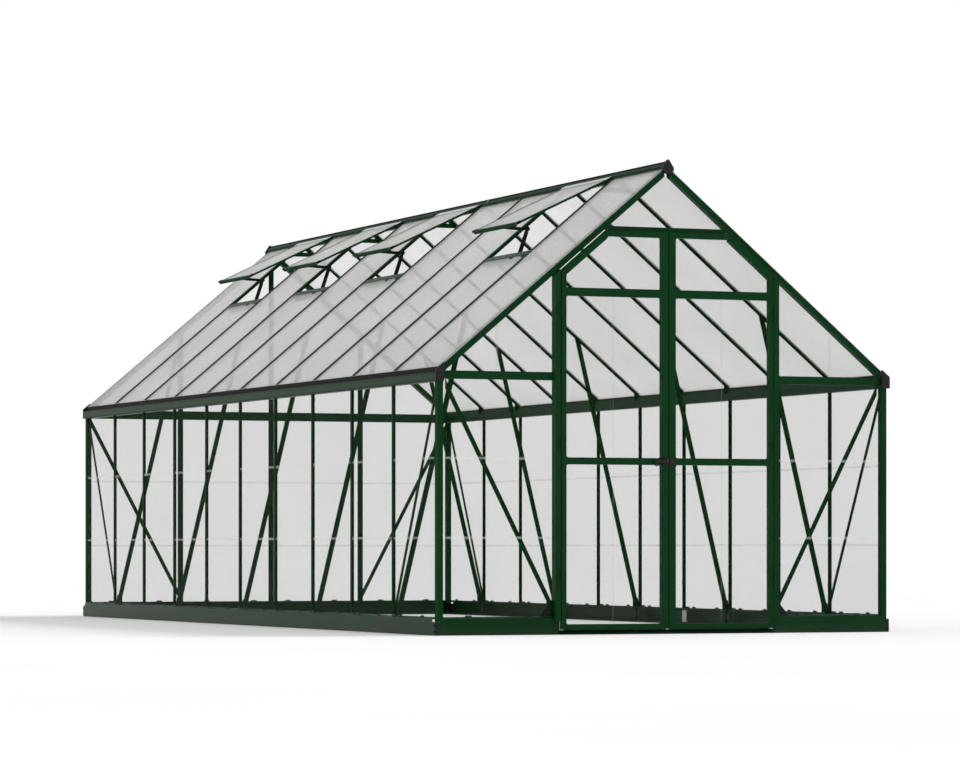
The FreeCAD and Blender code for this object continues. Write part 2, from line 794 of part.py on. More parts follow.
def make_leaves():
    """Door leaves: tube frames whose top outer corners follow the roof, and their clear panes."""
    chamfer_depth = gable_rafter_depth + chamfer_gap
    corner_x = roof_x(leaf_top, chamfer_depth)
    upper_top = roof_z(leaf_outer, chamfer_depth) - upper_rail_drop
    upper_low = upper_top - upper_rail
    middle_top = middle_rail_height + middle_rail
    top_low = leaf_top - top_rail
    hinge_side = under_gable(stile_tube(hinge_inner, leaf_outer, leaf_top), chamfer_gap)
    meeting = stile_tube(leaf_inner, meeting_outer, leaf_top)

    def chamfer_ring(inset):
        y0, y1 = leaf_front + inset, leaf_back - inset
        high = roof_z(hinge_inner, chamfer_depth + inset)
        low = roof_z(hinge_inner, chamfer_depth + chamfer_rail - inset)
        corners = [(y0, low), (y1, low), (y1, high), (y0, high)]
        return [(hinge_inner, y, z) for y, z in corners]

    climb = hinge_inner - corner_x
    chamfer = tube(chamfer_ring(0), chamfer_ring(leaf_wall), (-climb, 0, rise * climb))
    rails = [flat_tube(meeting_outer, hinge_inner, leaf_bottom, leaf_bottom + bottom_rail),
             flat_tube(meeting_outer, hinge_inner, middle_rail_height, middle_top),
             flat_tube(meeting_outer, hinge_inner, upper_low, upper_top),
             flat_tube(meeting_outer, corner_x, top_low, leaf_top)]
    frame = [hinge_side, meeting, chamfer] + rails
    save("right_door_frame", frame)
    save("left_door_frame", flip_x(frame))

    pane_y = leaf_front + pane_depth
    x0, x1 = meeting_outer + panel_gap, hinge_inner - panel_gap
    panes = []
    for low, high in ((leaf_bottom + bottom_rail, middle_rail_height), (middle_top, upper_low)):
        panes.append(block((x0, pane_y, low + panel_gap), (x1, pane_y + panel_thickness, high - panel_gap)))
    under = chamfer_depth + chamfer_rail + panel_gap
    x2 = corner_x - panel_gap
    top_outline = [(x0, upper_top + panel_gap), (x1, upper_top + panel_gap), (x1, roof_z(x1, under)),
                   (x2, roof_z(x2, under)), (x2, top_low - panel_gap), (x0, top_low - panel_gap)]
    panes.append(prism([(x, pane_y, z) for x, z in top_outline], (0, panel_thickness, 0)))
    save("right_door_panes", panes)
    save("left_door_panes", flip_x(panes))


def make_hinges():
    """Barrel hinges: a lower knuckle on the jamb, an upper knuckle on the leaf and a pin."""
    axis_x = (doorway_half + leaf_outer) / 2
    axis_y = leaf_front - knuckle_radius - knuckle_gap
    bore = pin_radius + running_clearance
    lowest = leaf_bottom + hinge_end
    highest = roof_z(leaf_outer, gable_rafter_depth + chamfer_gap) - hinge_end
    pitch = (highest - lowest) / (hinge_count - 1)
    fixed = []
    moving = []
    pins = []
    for i in range(hinge_count):
        low = lowest + pitch * i
        middle = low + knuckle_length
        upper = middle + knuckle_gap
        barrel_edge = axis_y + knuckle_radius / 2
        plate = block((axis_x, barrel_edge, low), (axis_x + hinge_plate_length, jamb_front, middle))
        barrel = rod(knuckle_radius, (axis_x, axis_y, low), (0, 0, knuckle_length))
        hole = rod(bore, (axis_x, axis_y, low), (0, 0, knuckle_length))
        fixed.append(one_solid(plate.fuse(barrel).cut(hole)))
        plate = block((axis_x - hinge_plate_length, leaf_front - hinge_plate, upper),
                      (axis_x, leaf_front, upper + knuckle_length))
        barrel = rod(knuckle_radius, (axis_x, axis_y, upper), (0, 0, knuckle_length))
        hole = rod(bore, (axis_x, axis_y, upper), (0, 0, knuckle_length))
        moving.append(one_solid(plate.fuse(barrel).cut(hole)))
        pins.append(rod(pin_radius, (axis_x, axis_y, low), (0, 0, upper + knuckle_length - low)))
    save("jamb_knuckles", fixed + flip_x(fixed))
    save("hinge_pins", pins + flip_x(pins))
    save("right_door_knuckles", moving)
    save("left_door_knuckles", flip_x(moving))


def make_latch():
    """Latch case with a turning lever on the left leaf, and a keeper on the right leaf."""
    middle = middle_rail_height + middle_rail / 2
    low, high = middle - latch_height / 2, middle + latch_height / 2
    inner = leaf_inner + latch_margin
    outer = meeting_outer - latch_margin
    hub_x = -(inner + outer) / 2
    case_front = leaf_front - latch_case_depth
    case = block((-outer, case_front, low), (-inner, leaf_front, high))
    bore = rod(spindle_radius + running_clearance, (hub_x, case_front, middle), (0, latch_case_depth, 0))
    save("latch_case", [one_solid(case.cut(bore))])

    lever_back = case_front - lever_standoff
    lever_front = lever_back - lever_thickness
    half = lever_width / 2
    bar = block((hub_x - lever_length, lever_front, middle - half), (hub_x + half, lever_back, middle + half))
    eye = (hub_x - lever_length + eye_radius, lever_front, middle - half - eye_drop)
    loop = rod(eye_radius, eye, (0, lever_thickness, 0))
    hole = rod(eye_hole_radius, eye, (0, lever_thickness, 0))
    lever = one_solid(bar.fuse(loop).cut(hole))
    spindle_run = lever_standoff + latch_case_depth - spindle_end_gap
    spindle = rod(spindle_radius, (hub_x, lever_back, middle), (0, spindle_run, 0))
    save("latch_lever", [lever, spindle])
    save("latch_keeper", [block((inner, leaf_front - keeper_depth, low), (outer, leaf_front, high))])


hinge_x = ridge_wing + bead_clearance + bead_radius
hinge_z = roof_z(hinge_x, -(bead_radius + bead_clearance))


def vent_point(down, out, tilt):
    """X and Z of a point on a left-hand vent, down from its hinge and out of its plane."""
    x = -hinge_x - down * math.cos(tilt) - out * math.sin(tilt)
    z = hinge_z - down * math.sin(tilt) + out * math.cos(tilt)
    return x, z


def vent_prism(outline, y0, y1, tilt):
    """A vent piece from its side outline of (down, out) points, between two places along Y."""
    points = [vent_point(down, out, tilt) for down, out in outline]
    return prism([(x, y0, z) for x, z in points], (0, y1 - y0, 0))


def stay_bar(start, end, y0, width, bore_at_start):
    """Flat stay bar with round ends between two pivots, and a bore at its pinned end."""
    along = FreeCAD.Vector(end[0] - start[0], 0, end[1] - start[1])
    side = FreeCAD.Vector(-along.z, 0, along.x).normalize() * (width / 2)
    first = FreeCAD.Vector(start[0], y0, start[1])
    last = FreeCAD.Vector(end[0], y0, end[1])
    back = FreeCAD.Vector(along).normalize() * (width / 2)
    edges = [Part.LineSegment(first + side, last + side).toShape(),
             Part.Arc(last + side, last + back, last - side).toShape(),
             Part.LineSegment(last - side, first - side).toShape(),
             Part.Arc(first - side, first - back, first + side).toShape()]
    bar = Part.Face(Part.Wire(edges)).extrude(FreeCAD.Vector(0, stay_thickness, 0))
    pivot = first if bore_at_start else last
    return bar.cut(rod(stay_pin_radius + running_clearance, tuple(pivot), (0, stay_thickness, 0))).Solids[0]


def make_vents():
    """Roof vents that hinge at the ridge, shown open, with their sills and elbow stays."""
    tilt = slope - math.radians(vent_open)
    bottom = vent_lift - bead_radius - bead_clearance
    top = bottom + vent_thickness
    foot_start = vent_length - vent_rail
    sill_upper, sill_lower = sill_edges()

    # Pivots of the elbow stay: on the vent, on the sill, and the elbow between the two bars.
    head = vent_point(foot_start - stay_vent_inset, -stay_vent_drop, tilt)
    foot = (stay_sill_reach - sill_upper, roof_z(sill_upper - stay_sill_reach) - stay_sill_drop * upright)
    span = math.dist(head, foot)
    along = (stay_upper ** 2 - stay_lower ** 2 + span ** 2) / (2 * span)
    aside = math.sqrt(stay_upper ** 2 - along ** 2)
    unit = ((foot[0] - head[0]) / span, (foot[1] - head[1]) / span)
    elbow = (head[0] + along * unit[0] - aside * unit[1], head[1] + along * unit[1] + aside * unit[0])

    sills = []
    for number, bay in enumerate(vent_bays, start=1):
        middle = vent_line(bay)
        y0, y1 = middle - vent_width / 2, middle + vent_width / 2
        foot_y0, foot_y1 = y0 - foot_rail_overhang, y1 + foot_rail_overhang
        sill_start = middle - long_pitch / 2 + rafter_width / 2 + panel_gap
        sill_stop = middle + long_pitch / 2 - rafter_width / 2 - panel_gap
        head_rail = vent_prism([(0, bottom), (vent_rail, bottom), (vent_rail, top), (0, top)], y0, y1, tilt)
        bead = rod(bead_radius, (-hinge_x, y0, hinge_z), (0, vent_width, 0))
        head_rail = one_solid(head_rail.fuse(bead))
        foot_outline = [(foot_start, bottom), (vent_length, bottom), (vent_length, top), (foot_start, top)]
        foot_rail = vent_prism(foot_outline, foot_y0, foot_y1, tilt)
        skirt_start = vent_length - vent_skirt_wall
        skirt_outline = [(skirt_start, bottom - vent_skirt), (vent_length, bottom - vent_skirt),
                         (vent_length, bottom), (skirt_start, bottom)]
        skirt = vent_prism(skirt_outline, sill_start + vent_skirt_play, sill_stop - vent_skirt_play, tilt)
        side_outline = [(vent_rail, bottom), (foot_start, bottom), (foot_start, top), (vent_rail, top)]
        near = vent_prism(side_outline, y0, y0 + vent_rail, tilt)
        far = vent_prism(side_outline, y1 - vent_rail, y1, tilt)

        # The tab under the foot rail carries the pin of the upper stay bar.
        tab_y = middle + stay_side_gap + stay_thickness + stay_tab_gap
        reach = stay_width / 2
        tab_outline = [(foot_start - stay_vent_inset - reach, -stay_vent_drop - reach),
                       (foot_start, -stay_vent_drop - reach), (foot_start, 0),
                       (foot_start - stay_vent_inset - reach, 0)]
        tab = vent_prism(tab_outline, tab_y, tab_y + stay_tab, tilt)
        pin_run = stay_tab_gap + stay_thickness
        pin = rod(stay_pin_radius, (head[0], tab_y - pin_run, head[1]), (0, pin_run, 0))
        tab = one_solid(tab.fuse(pin))
        save(f"vent_{number}_frame", [head_rail, foot_rail, skirt, near, far, tab])

        corner_x, corner_z = vent_point(vent_rail + panel_gap, top, tilt)
        run = foot_start - vent_rail - 2 * panel_gap
        thick = (sheet_thickness * math.sin(tilt), 0, -sheet_thickness * math.cos(tilt))
        sheet = fluted_sheet((corner_x, y0 + vent_rail + panel_gap, corner_z),
                             vent_width - 2 * vent_rail - 2 * panel_gap, thick,
                             (-run * math.cos(tilt), 0, -run * math.sin(tilt)))
        save(f"vent_{number}_panel", [sheet])

        upper_stay = stay_bar(head, elbow, middle + stay_side_gap, stay_width, True)
        save(f"vent_{number}_upper_stay", [upper_stay])
        lower_y = middle - stay_side_gap - stay_thickness
        save(f"vent_{number}_lower_stay", [stay_bar(elbow, foot, lower_y, stay_lower_width, False)])

        # The sill closes the sheet below the vent and carries the pin of the lower stay bar.
        corners = [(-sill_upper, roof_z(sill_upper, sill_top)), (-sill_lower, roof_z(sill_lower, sill_top)),
                   (-sill_lower, roof_z(sill_lower, sill_depth)),
                   (-sill_upper, roof_z(sill_upper, sill_depth))]
        sills.append(prism([(x, sill_start, z) for x, z in corners], (0, sill_stop - sill_start, 0)))
        tab_y = lower_y - stay_tab_gap - stay_tab
        tab = block((-sill_upper, tab_y, foot[1] - reach),
                    (foot[0] + reach, tab_y + stay_tab, foot[1] + reach))
        pin = rod(stay_pin_radius, (foot[0], tab_y + stay_tab, foot[1]), (0, pin_run, 0))
        sills.append(one_solid(tab.fuse(pin)))
    save("vent_sills", sills)


os.makedirs("parts", exist_ok=True)
make_base()
make_clips()
make_posts()
make_mullions()
make_wall_panels()
make_gable_panels()
make_gutters()
make_rafters()
make_roof()
make_ridge()
make_braces()
make_strips()
make_doorway()
make_leaves()
make_hinges()
make_latch()
make_vents()
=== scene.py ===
import math

import bmesh
import bpy
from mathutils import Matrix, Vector


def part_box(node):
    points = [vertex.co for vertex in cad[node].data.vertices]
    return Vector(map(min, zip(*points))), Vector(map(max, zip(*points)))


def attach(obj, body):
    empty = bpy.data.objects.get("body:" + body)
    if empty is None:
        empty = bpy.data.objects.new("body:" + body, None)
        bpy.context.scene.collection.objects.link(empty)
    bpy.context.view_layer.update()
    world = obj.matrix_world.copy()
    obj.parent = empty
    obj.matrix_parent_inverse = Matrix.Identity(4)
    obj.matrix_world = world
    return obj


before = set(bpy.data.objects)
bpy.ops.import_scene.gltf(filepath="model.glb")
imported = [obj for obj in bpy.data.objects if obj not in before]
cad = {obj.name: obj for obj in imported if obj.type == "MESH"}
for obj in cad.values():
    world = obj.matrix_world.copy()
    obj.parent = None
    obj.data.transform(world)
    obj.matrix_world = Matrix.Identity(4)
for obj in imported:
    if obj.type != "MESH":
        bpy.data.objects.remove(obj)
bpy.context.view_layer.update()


# Base rails: aluminium channel folded from sheet, powder coated dark green, laid on the ground.
# The coating has a fine orange peel, and soil splashes leave it a little duller low down.
# Each long rail is two lengths, joined inside by a zinc-plated plate with four screws.
def noise_over(finish, grain_size, detail):
    """Noise fixed to the piece, with grains of about that size in metres."""
    tree = finish.node_tree
    place = tree.nodes.new("ShaderNodeTexCoord")
    noise = tree.nodes.new("ShaderNodeTexNoise")
    noise.inputs["Scale"].default_value = 1 / grain_size
    noise.inputs["Detail"].default_value = detail
    tree.links.new(place.outputs["Object"], noise.inputs["Vector"])
    return noise.outputs["Fac"]


def spread(finish, value, from_low, from_high, to_low, to_high):
    """The value stretched from one range to another."""
    tree = finish.node_tree
    stretch = tree.nodes.new("ShaderNodeMapRange")
    stretch.inputs["From Min"].default_value = from_low
    stretch.inputs["From Max"].default_value = from_high
    stretch.inputs["To Min"].default_value = to_low
    stretch.inputs["To Max"].default_value = to_high
    tree.links.new(value, stretch.inputs["Value"])
    return stretch.outputs["Result"]


def clouded(finish, patch_size, first, second):
    """Two close colours in soft patches."""
    tree = finish.node_tree
    ramp = tree.nodes.new("ShaderNodeValToRGB")
    ramp.color_ramp.elements[0].position = 0.35
    ramp.color_ramp.elements[0].color = (*first, 1.0)
    ramp.color_ramp.elements[1].position = 0.65
    ramp.color_ramp.elements[1].color = (*second, 1.0)
    tree.links.new(noise_over(finish, patch_size, 3.0), ramp.inputs["Fac"])
    return ramp.outputs["Color"]


def shader_of(finish):
    """The shader that holds a finish together."""
    return finish.node_tree.nodes["Principled BSDF"]


def colour_of(finish):
    """The output that a finish takes its colour from."""
    return shader_of(finish).inputs["Base Color"].links[0].from_socket


def new_finish(name, shine, patch, colours, grain, depth, gloss):
    """A material in two close colours, with its patches, grain and depth of grain given in metres.

    The grain shows in the gloss, between the two values of roughness, and as a bump.
    """
    finish = bpy.data.materials.new(name)
    finish.use_nodes = True
    tree = finish.node_tree
    shader = shader_of(finish)
    shader.inputs["Specular IOR Level"].default_value = shine
    tree.links.new(clouded(finish, patch, *colours), shader.inputs["Base Color"])
    speckle = noise_over(finish, grain, 2.0)
    tree.links.new(spread(finish, speckle, 0.3, 0.7, *gloss), shader.inputs["Roughness"])
    bump = tree.nodes.new("ShaderNodeBump")
    bump.inputs["Distance"].default_value = depth
    tree.links.new(speckle, bump.inputs["Height"])
    tree.links.new(bump.outputs["Normal"], shader.inputs["Normal"])
    return finish


def dust_over(finish, dust, reach):
    """Dust over the colour, thickest on the ground and gone at the given height in metres."""
    tree = finish.node_tree
    place = tree.nodes.new("ShaderNodeTexCoord")
    split = tree.nodes.new("ShaderNodeSeparateXYZ")
    tree.links.new(place.outputs["Object"], split.inputs["Vector"])
    low_down = spread(finish, split.outputs["Z"], 0.0, reach, 0.5, 0.0)
    patchy = tree.nodes.new("ShaderNodeMath")
    patchy.operation = "MULTIPLY"
    tree.links.new(low_down, patchy.inputs[0])
    tree.links.new(noise_over(finish, 0.03, 4.0), patchy.inputs[1])
    blend = tree.nodes.new("ShaderNodeMix")
    blend.data_type = "RGBA"
    tree.links.new(patchy.outputs[0], blend.inputs["Factor"])
    tree.links.new(colour_of(finish), blend.inputs[6])
    blend.inputs[7].default_value = (*dust, 1.0)
    tree.links.new(blend.outputs[2], shader_of(finish).inputs["Base Color"])


coat_shine = 0.075
coat_grain = 0.004
coat_peel = 0.00008
coat_green = (0.0028, 0.040, 0.0092)
coat_green_deep = (0.0023, 0.0345, 0.0081)
base_green = (0.0020, 0.031, 0.0075)
soil_dust = (0.05, 0.07, 0.05)
soil_reach = 0.05

base_coat = new_finish("base_green_coat", shine=0.095, patch=0.35, colours=(base_green, coat_green_deep),
                       grain=coat_grain, depth=coat_peel, gloss=(0.30, 0.42))
dust_over(base_coat, soil_dust, soil_reach)


def dress(finish, *names):
    """Give a finish to pieces that keep their shape from the frame."""
    for name in names:
        slots = cad[name].data.materials
        slots.clear()
        slots.append(finish)


dress(base_coat, "base_rails_long", "base_rails_gable")


def add_prism(parts, outline, run):
    """A flat outline through some points, moved along a run."""
    first = [parts.verts.new(Vector(point)) for point in outline]
    last = [parts.verts.new(Vector(point) + Vector(run)) for point in outline]
    parts.faces.new(first)
    parts.faces.new(list(reversed(last)))
    for i in range(len(first)):
        j = (i + 1) % len(first)
        parts.faces.new([first[i], last[i], last[j], first[j]])


def add_plate(parts, corner, opposite):
    """A square-edged plate between two opposite corners."""
    x0, y0, z0 = corner
    x1, y1, z1 = opposite
    add_prism(parts, [(x0, y0, z0), (x1, y0, z0), (x1, y1, z0), (x0, y1, z0)], (0, 0, z1 - z0))


def add_turned(parts, profile, place, axis, steps=12):
    """A turned form: points of (radius, height) spun about an axis from a place."""
    turn = Vector(axis).to_track_quat("Z", "Y").to_matrix()
    rings = []
    for radius, height in profile:
        ring = []
        for i in range(steps):
            angle = 2 * math.pi * i / steps
            spoke = Vector((radius * math.cos(angle), radius * math.sin(angle), height))
            ring.append(parts.verts.new(Vector(place) + turn @ spoke))
        rings.append(ring)
    for lower, upper in zip(rings, rings[1:]):
        for i in range(steps):
            j = (i + 1) % steps
            parts.faces.new([lower[i], lower[j], upper[j], upper[i]])
    parts.faces.new(list(reversed(rings[0])))
    parts.faces.new(rings[-1])


def add_screw(parts, place, axis, size=0.0045):
    """A pan head with a socket, on a washer, standing on a face."""
    washer = 1.45 * size
    add_turned(parts, [(washer, 0), (washer, 0.22 * size), (size, 0.24 * size), (0.95 * size, 0.62 * size),
                       (0.7 * size, 0.86 * size), (0.42 * size, 0.9 * size), (0.36 * size, 0.5 * size)],
               place, axis)


def new_piece(name, body, finish, parts, edge=0.0):
    """Turn a mesh in the making into a piece of the greenhouse that rides on a body."""
    bmesh.ops.recalc_face_normals(parts, faces=parts.faces)
    mesh = bpy.data.meshes.new(name)
    parts.to_mesh(mesh)
    parts.free()
    mesh.materials.append(finish)
    for face in mesh.polygons:
        face.use_smooth = True
    mesh.set_sharp_from_angle(angle=math.radians(35))
    piece = bpy.data.objects.new(name, mesh)
    bpy.context.scene.collection.objects.link(piece)
    if edge:
        rounding = piece.modifiers.new("eased_edges", "BEVEL")
        rounding.width = edge
        rounding.segments = 2
        rounding.limit_method = "ANGLE"
        rounding.angle_limit = math.radians(40)
        rounding.harden_normals = True
    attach(piece, body)
    return piece


zinc = new_finish("bare_zinc", shine=0.5, patch=0.004, colours=((0.42, 0.43, 0.42), (0.58, 0.59, 0.57)),
                  grain=0.0012, depth=0.00004, gloss=(0.32, 0.5))
shader_of(zinc).inputs["Metallic"].default_value = 0.75

rail_depth = 0.040
rail_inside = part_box("base_rails_long")[1].x - rail_depth
splice_line = -0.650
splice_half = 0.028
splice_foot = 0.010
splice_head = 0.074
splice_face = 0.0016
splice_gap = 0.0002
splice_screw_half = 0.016
splice_screw_heights = (0.020, 0.064)
splice_plates = bmesh.new()
for side in (-1, 1):
    inner = side * (rail_inside - splice_face)
    add_plate(splice_plates, (inner, splice_line - splice_half, splice_foot),
              (side * (rail_inside - splice_gap), splice_line + splice_half, splice_head))
    for y in (splice_line - splice_screw_half, splice_line + splice_screw_half):
        for z in splice_screw_heights:
            add_screw(splice_plates, (inner, y, z), (-side, 0, 0))
new_piece("base_splice_plates", "frame", zinc, splice_plates)


# Corner blocks: moulded black plastic, pushed between the rail ends under the corner posts.
# The moulding has eased edges, a fine spark-eroded grain and two screws on each outer face.
def ease(name, width):
    """Ease the edges of a piece that keeps its shape from the frame."""
    join = cad[name].modifiers.new("joined_faces", "WELD")
    join.merge_threshold = 0.00001
    rounding = cad[name].modifiers.new("eased_edges", "BEVEL")
    rounding.width = width
    rounding.segments = 2
    rounding.limit_method = "ANGLE"
    rounding.angle_limit = math.radians(40)


black_plastic = new_finish("moulded_black_plastic", shine=0.25, patch=0.02,
                           colours=((0.007, 0.007, 0.0075), (0.012, 0.011, 0.012)),
                           grain=0.0010, depth=0.00006, gloss=(0.42, 0.58))
dress(black_plastic, "base_corner_blocks")
ease("base_corner_blocks", width=0.002)

black_steel = new_finish("blackened_screw_steel", shine=0.2, patch=0.004,
                         colours=((0.006, 0.010, 0.007), (0.010, 0.016, 0.011)),
                         grain=0.0012, depth=0.00004, gloss=(0.4, 0.55))

corner_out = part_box("base_corner_blocks")[1]
corner_half = 0.011
corner_screw_heights = (0.018, 0.048)
corner_screws = bmesh.new()
for side in (-1, 1):
    for end in (-1, 1):
        for z in corner_screw_heights:
            add_screw(corner_screws, (side * corner_out.x, end * (corner_out.y - corner_half), z),
                      (side, 0, 0))
            add_screw(corner_screws, (side * (corner_out.x - corner_half), end * corner_out.y, z),
                      (0, end, 0))
new_piece("base_corner_screws", "frame", black_steel, corner_screws)


# Threshold: a folded strip under the doors. Its deeper green is painted shade, for the shade it lies in
# under the door leaves.
# Three low beads are rolled along its top so that a wet boot does not slip.
# Painted shade: a darker green standing for the shade under the doors, used again on the gutter bead, lines
# and shadow strips.
painted_shade_green = new_finish("threshold_painted_shade_green", shine=coat_shine, patch=0.2,
                       colours=((0.002, 0.012, 0.005), (0.003, 0.018, 0.007)),
                       grain=coat_grain, depth=coat_peel, gloss=(0.38, 0.52))
dress(painted_shade_green, "door_threshold")

threshold_low, threshold_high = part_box("door_threshold")
bead_half = 0.003
bead_rise = 0.0014
bead_setbacks = (0.008, 0.017, 0.026)
bead_section = [(-bead_half, 0), (-bead_half / 2, bead_rise), (bead_half / 2, bead_rise), (bead_half, 0)]
threshold_beads = bmesh.new()
for back in bead_setbacks:
    y = threshold_high.y - back
    outline = [(threshold_low.x, y + across, threshold_high.z + up) for across, up in bead_section]
    add_prism(threshold_beads, outline, (threshold_high.x - threshold_low.x, 0, 0))
new_piece("threshold_beads", "frame", painted_shade_green, threshold_beads)


# Corner posts and mullions: aluminium extrusions in the same green, standing on the base.
# Each mullion grips the sheets beside it with a thin black rubber seal on its outer face.
bar_coat = new_finish("matt_green_coat", shine=0.015, patch=0.30,
                      colours=((0.0055, 0.036, 0.0100), (0.0068, 0.043, 0.0120)),
                      grain=coat_grain, depth=coat_peel, gloss=(0.42, 0.55))
dress(bar_coat, "corner_posts", "wall_mullions_left", "wall_mullions_right", "back_mullions")

rubber = new_finish("black_rubber", shine=0.06, patch=0.05,
                    colours=((0.006, 0.008, 0.007), (0.010, 0.013, 0.011)),
                    grain=0.0015, depth=0.00005, gloss=(0.6, 0.75))


def solid_boxes(name):
    """Lowest and highest corners of each separate bar or sheet of a node, in order along the greenhouse."""
    shell = bmesh.new()
    shell.from_mesh(cad[name].data)
    bmesh.ops.remove_doubles(shell, verts=shell.verts, dist=0.00002)
    waiting = set(shell.verts)
    boxes = []
    while waiting:
        reached = [waiting.pop()]
        for corner in reached:
            for edge in corner.link_edges:
                other = edge.other_vert(corner)
                if other in waiting:
                    waiting.remove(other)
                    reached.append(other)
        low = Vector([min(corner.co[i] for corner in reached) for i in range(3)])
        high = Vector([max(corner.co[i] for corner in reached) for i in range(3)])
        boxes.append((low, high))
    shell.free()
    return sorted(boxes, key=lambda box: tuple(round(value, 4) for value in (box[0].y, box[0].x, box[0].z)))


wall_mullions = (("wall_mullions_left", -1), ("wall_mullions_right", 1))
seal_width = 0.0018
seal_back = 0.0021
seal_front = 0.0004
back_seal_head = 1.22
mullion_seals = bmesh.new()
for name, side in wall_mullions:
    for low, high in solid_boxes(name):
        face = high.x if side > 0 else low.x
        for edge, way in ((low.y, -1), (high.y, 1)):
            outline = [(face - side * seal_back, edge, low.z),
                       (face - side * seal_back, edge + way * seal_width, low.z),
                       (face - side * seal_front, edge, low.z)]
            add_prism(mullion_seals, outline, (0, 0, high.z - low.z))
for low, high in solid_boxes("back_mullions"):
    for edge, way in ((low.x, -1), (high.x, 1)):
        outline = [(edge, high.y - seal_back, low.z), (edge + way * seal_width, high.y - seal_back, low.z),
                   (edge, high.y - seal_front, low.z)]
        add_prism(mullion_seals, outline, (0, 0, back_seal_head - low.z))
new_piece("mullion_seals", "frame", rubber, mullion_seals)

small_screw = 0.003
foot_screw_rise = 0.140
head_screw_drop = 0.030
mullion_screws = bmesh.new()
for name, side in wall_mullions:
    for low, high in solid_boxes(name):
        inner = low.x if side > 0 else high.x
        for z in (low.z + foot_screw_rise, high.z - head_screw_drop):
            add_screw(mullion_screws, (inner, (low.y + high.y) / 2, z), (-side, 0, 0), small_screw)
new_piece("mullion_screws", "frame", black_steel, mullion_screws)


# Clear sheets: thin extruded polycarbonate, slid into the mullion slots of all four walls.
# Two shallow ribs are pressed across each sheet to stiffen it. On the left and front walls their pale
# colour is a painted highlight, where they catch the light; on the others they show only faintly.
def see_through(finish, patch, thin, thick):
    """Let a finish be seen through, a little less in some patches than in others."""
    finish.surface_render_method = "BLENDED"
    haze = spread(finish, noise_over(finish, patch, 2.0), 0.3, 0.7, thin, thick)
    finish.node_tree.links.new(haze, shader_of(finish).inputs["Alpha"])


clear_sheet = new_finish("clear_polycarbonate", shine=0.03, patch=0.6,
                         colours=((0.012, 0.013, 0.004), (0.018, 0.019, 0.008)),
                         grain=0.02, depth=0.00002, gloss=(0.08, 0.16))
see_through(clear_sheet, patch=0.5, thin=0.089, thick=0.100)
dress(clear_sheet, "wall_panels_left", "wall_panels_right", "gable_panels_front", "gable_panels_back")

# Painted highlight: the ribs on the left and front walls are made pale where they catch the light.
rib_painted_highlight = new_finish("pressed_rib_painted_highlight", shine=0.5, patch=0.1,
                      colours=((0.82, 0.83, 0.80), (0.92, 0.93, 0.90)),
                      grain=0.01, depth=0.00003, gloss=(0.2, 0.3))
see_through(rib_painted_highlight, patch=0.08, thin=0.16, thick=0.23)

faint_line = new_finish("faint_moulded_line", shine=0.5, patch=0.1,
                        colours=((0.40, 0.40, 0.38), (0.50, 0.50, 0.48)),
                        grain=0.01, depth=0.00003, gloss=(0.2, 0.3))
see_through(faint_line, patch=0.08, thin=0.08, thick=0.13)

rib_heights = {-1: (0.469, 0.853), 1: (0.436, 0.832)}
rib_half = 0.006
rib_proud = 0.0012
rib_margin = 0.014
rib_section = [(0, -rib_half), (rib_proud, -rib_half / 2), (rib_proud, rib_half / 2), (0, rib_half)]


def add_rib(parts, start, out, run):
    """A low rib with sloping flanks, standing out from a sheet at a place and drawn along a run."""
    outline = [Vector(start) + Vector(out) * proud + Vector((0, 0, up)) for proud, up in rib_section]
    add_prism(parts, outline, run)


sheet_ribs = {-1: bmesh.new(), 1: bmesh.new()}
for name, side in (("wall_panels_left", -1), ("wall_panels_right", 1)):
    for low, high in solid_boxes(name):
        face = high.x if side > 0 else low.x
        for z in rib_heights[side]:
            add_rib(sheet_ribs[side], (face, low.y + rib_margin, z), (side, 0, 0),
                    (0, high.y - low.y - 2 * rib_margin, 0))
for name, side in (("gable_panels_front", -1), ("gable_panels_back", 1)):
    for low, high in solid_boxes(name):
        face = high.y if side > 0 else low.y
        for z in rib_heights[side]:
            if low.z < z - rib_half and high.z > z + rib_half:
                add_rib(sheet_ribs[side], (low.x + rib_margin, face, z), (0, side, 0),
                        (high.x - low.x - 2 * rib_margin, 0, 0))
new_piece("left_and_front_ribs", "frame", rib_painted_highlight, sheet_ribs[-1])
new_piece("right_and_back_ribs", "frame", faint_line, sheet_ribs[1])


# Panel clips: small black plastic clips snapped over the sloped edge of the base.
# They hold the lower edge of each sheet, two to a bay and one at each mullion foot.
dress(black_plastic, "panel_clips")
ease("panel_clips", width=0.0012)


# Gutters: green extruded channels along both eaves, closed at the ends by black moulded caps.
# The outer wall ends in a rolled bead and thin lines run along it, both in the darker green of painted
# shade. A dark strip along its foot is a painted shadow line under the gutter.
green_coat = new_finish("green_coat", shine=coat_shine, patch=0.30, colours=(coat_green_deep, coat_green),
                        grain=coat_grain, depth=coat_peel, gloss=(0.30, 0.42))
dress(green_coat, "gutter_left")
dress(base_coat, "gutter_right")
dress(black_plastic, "gutter_end_caps")
ease("gutter_end_caps", width=0.0025)

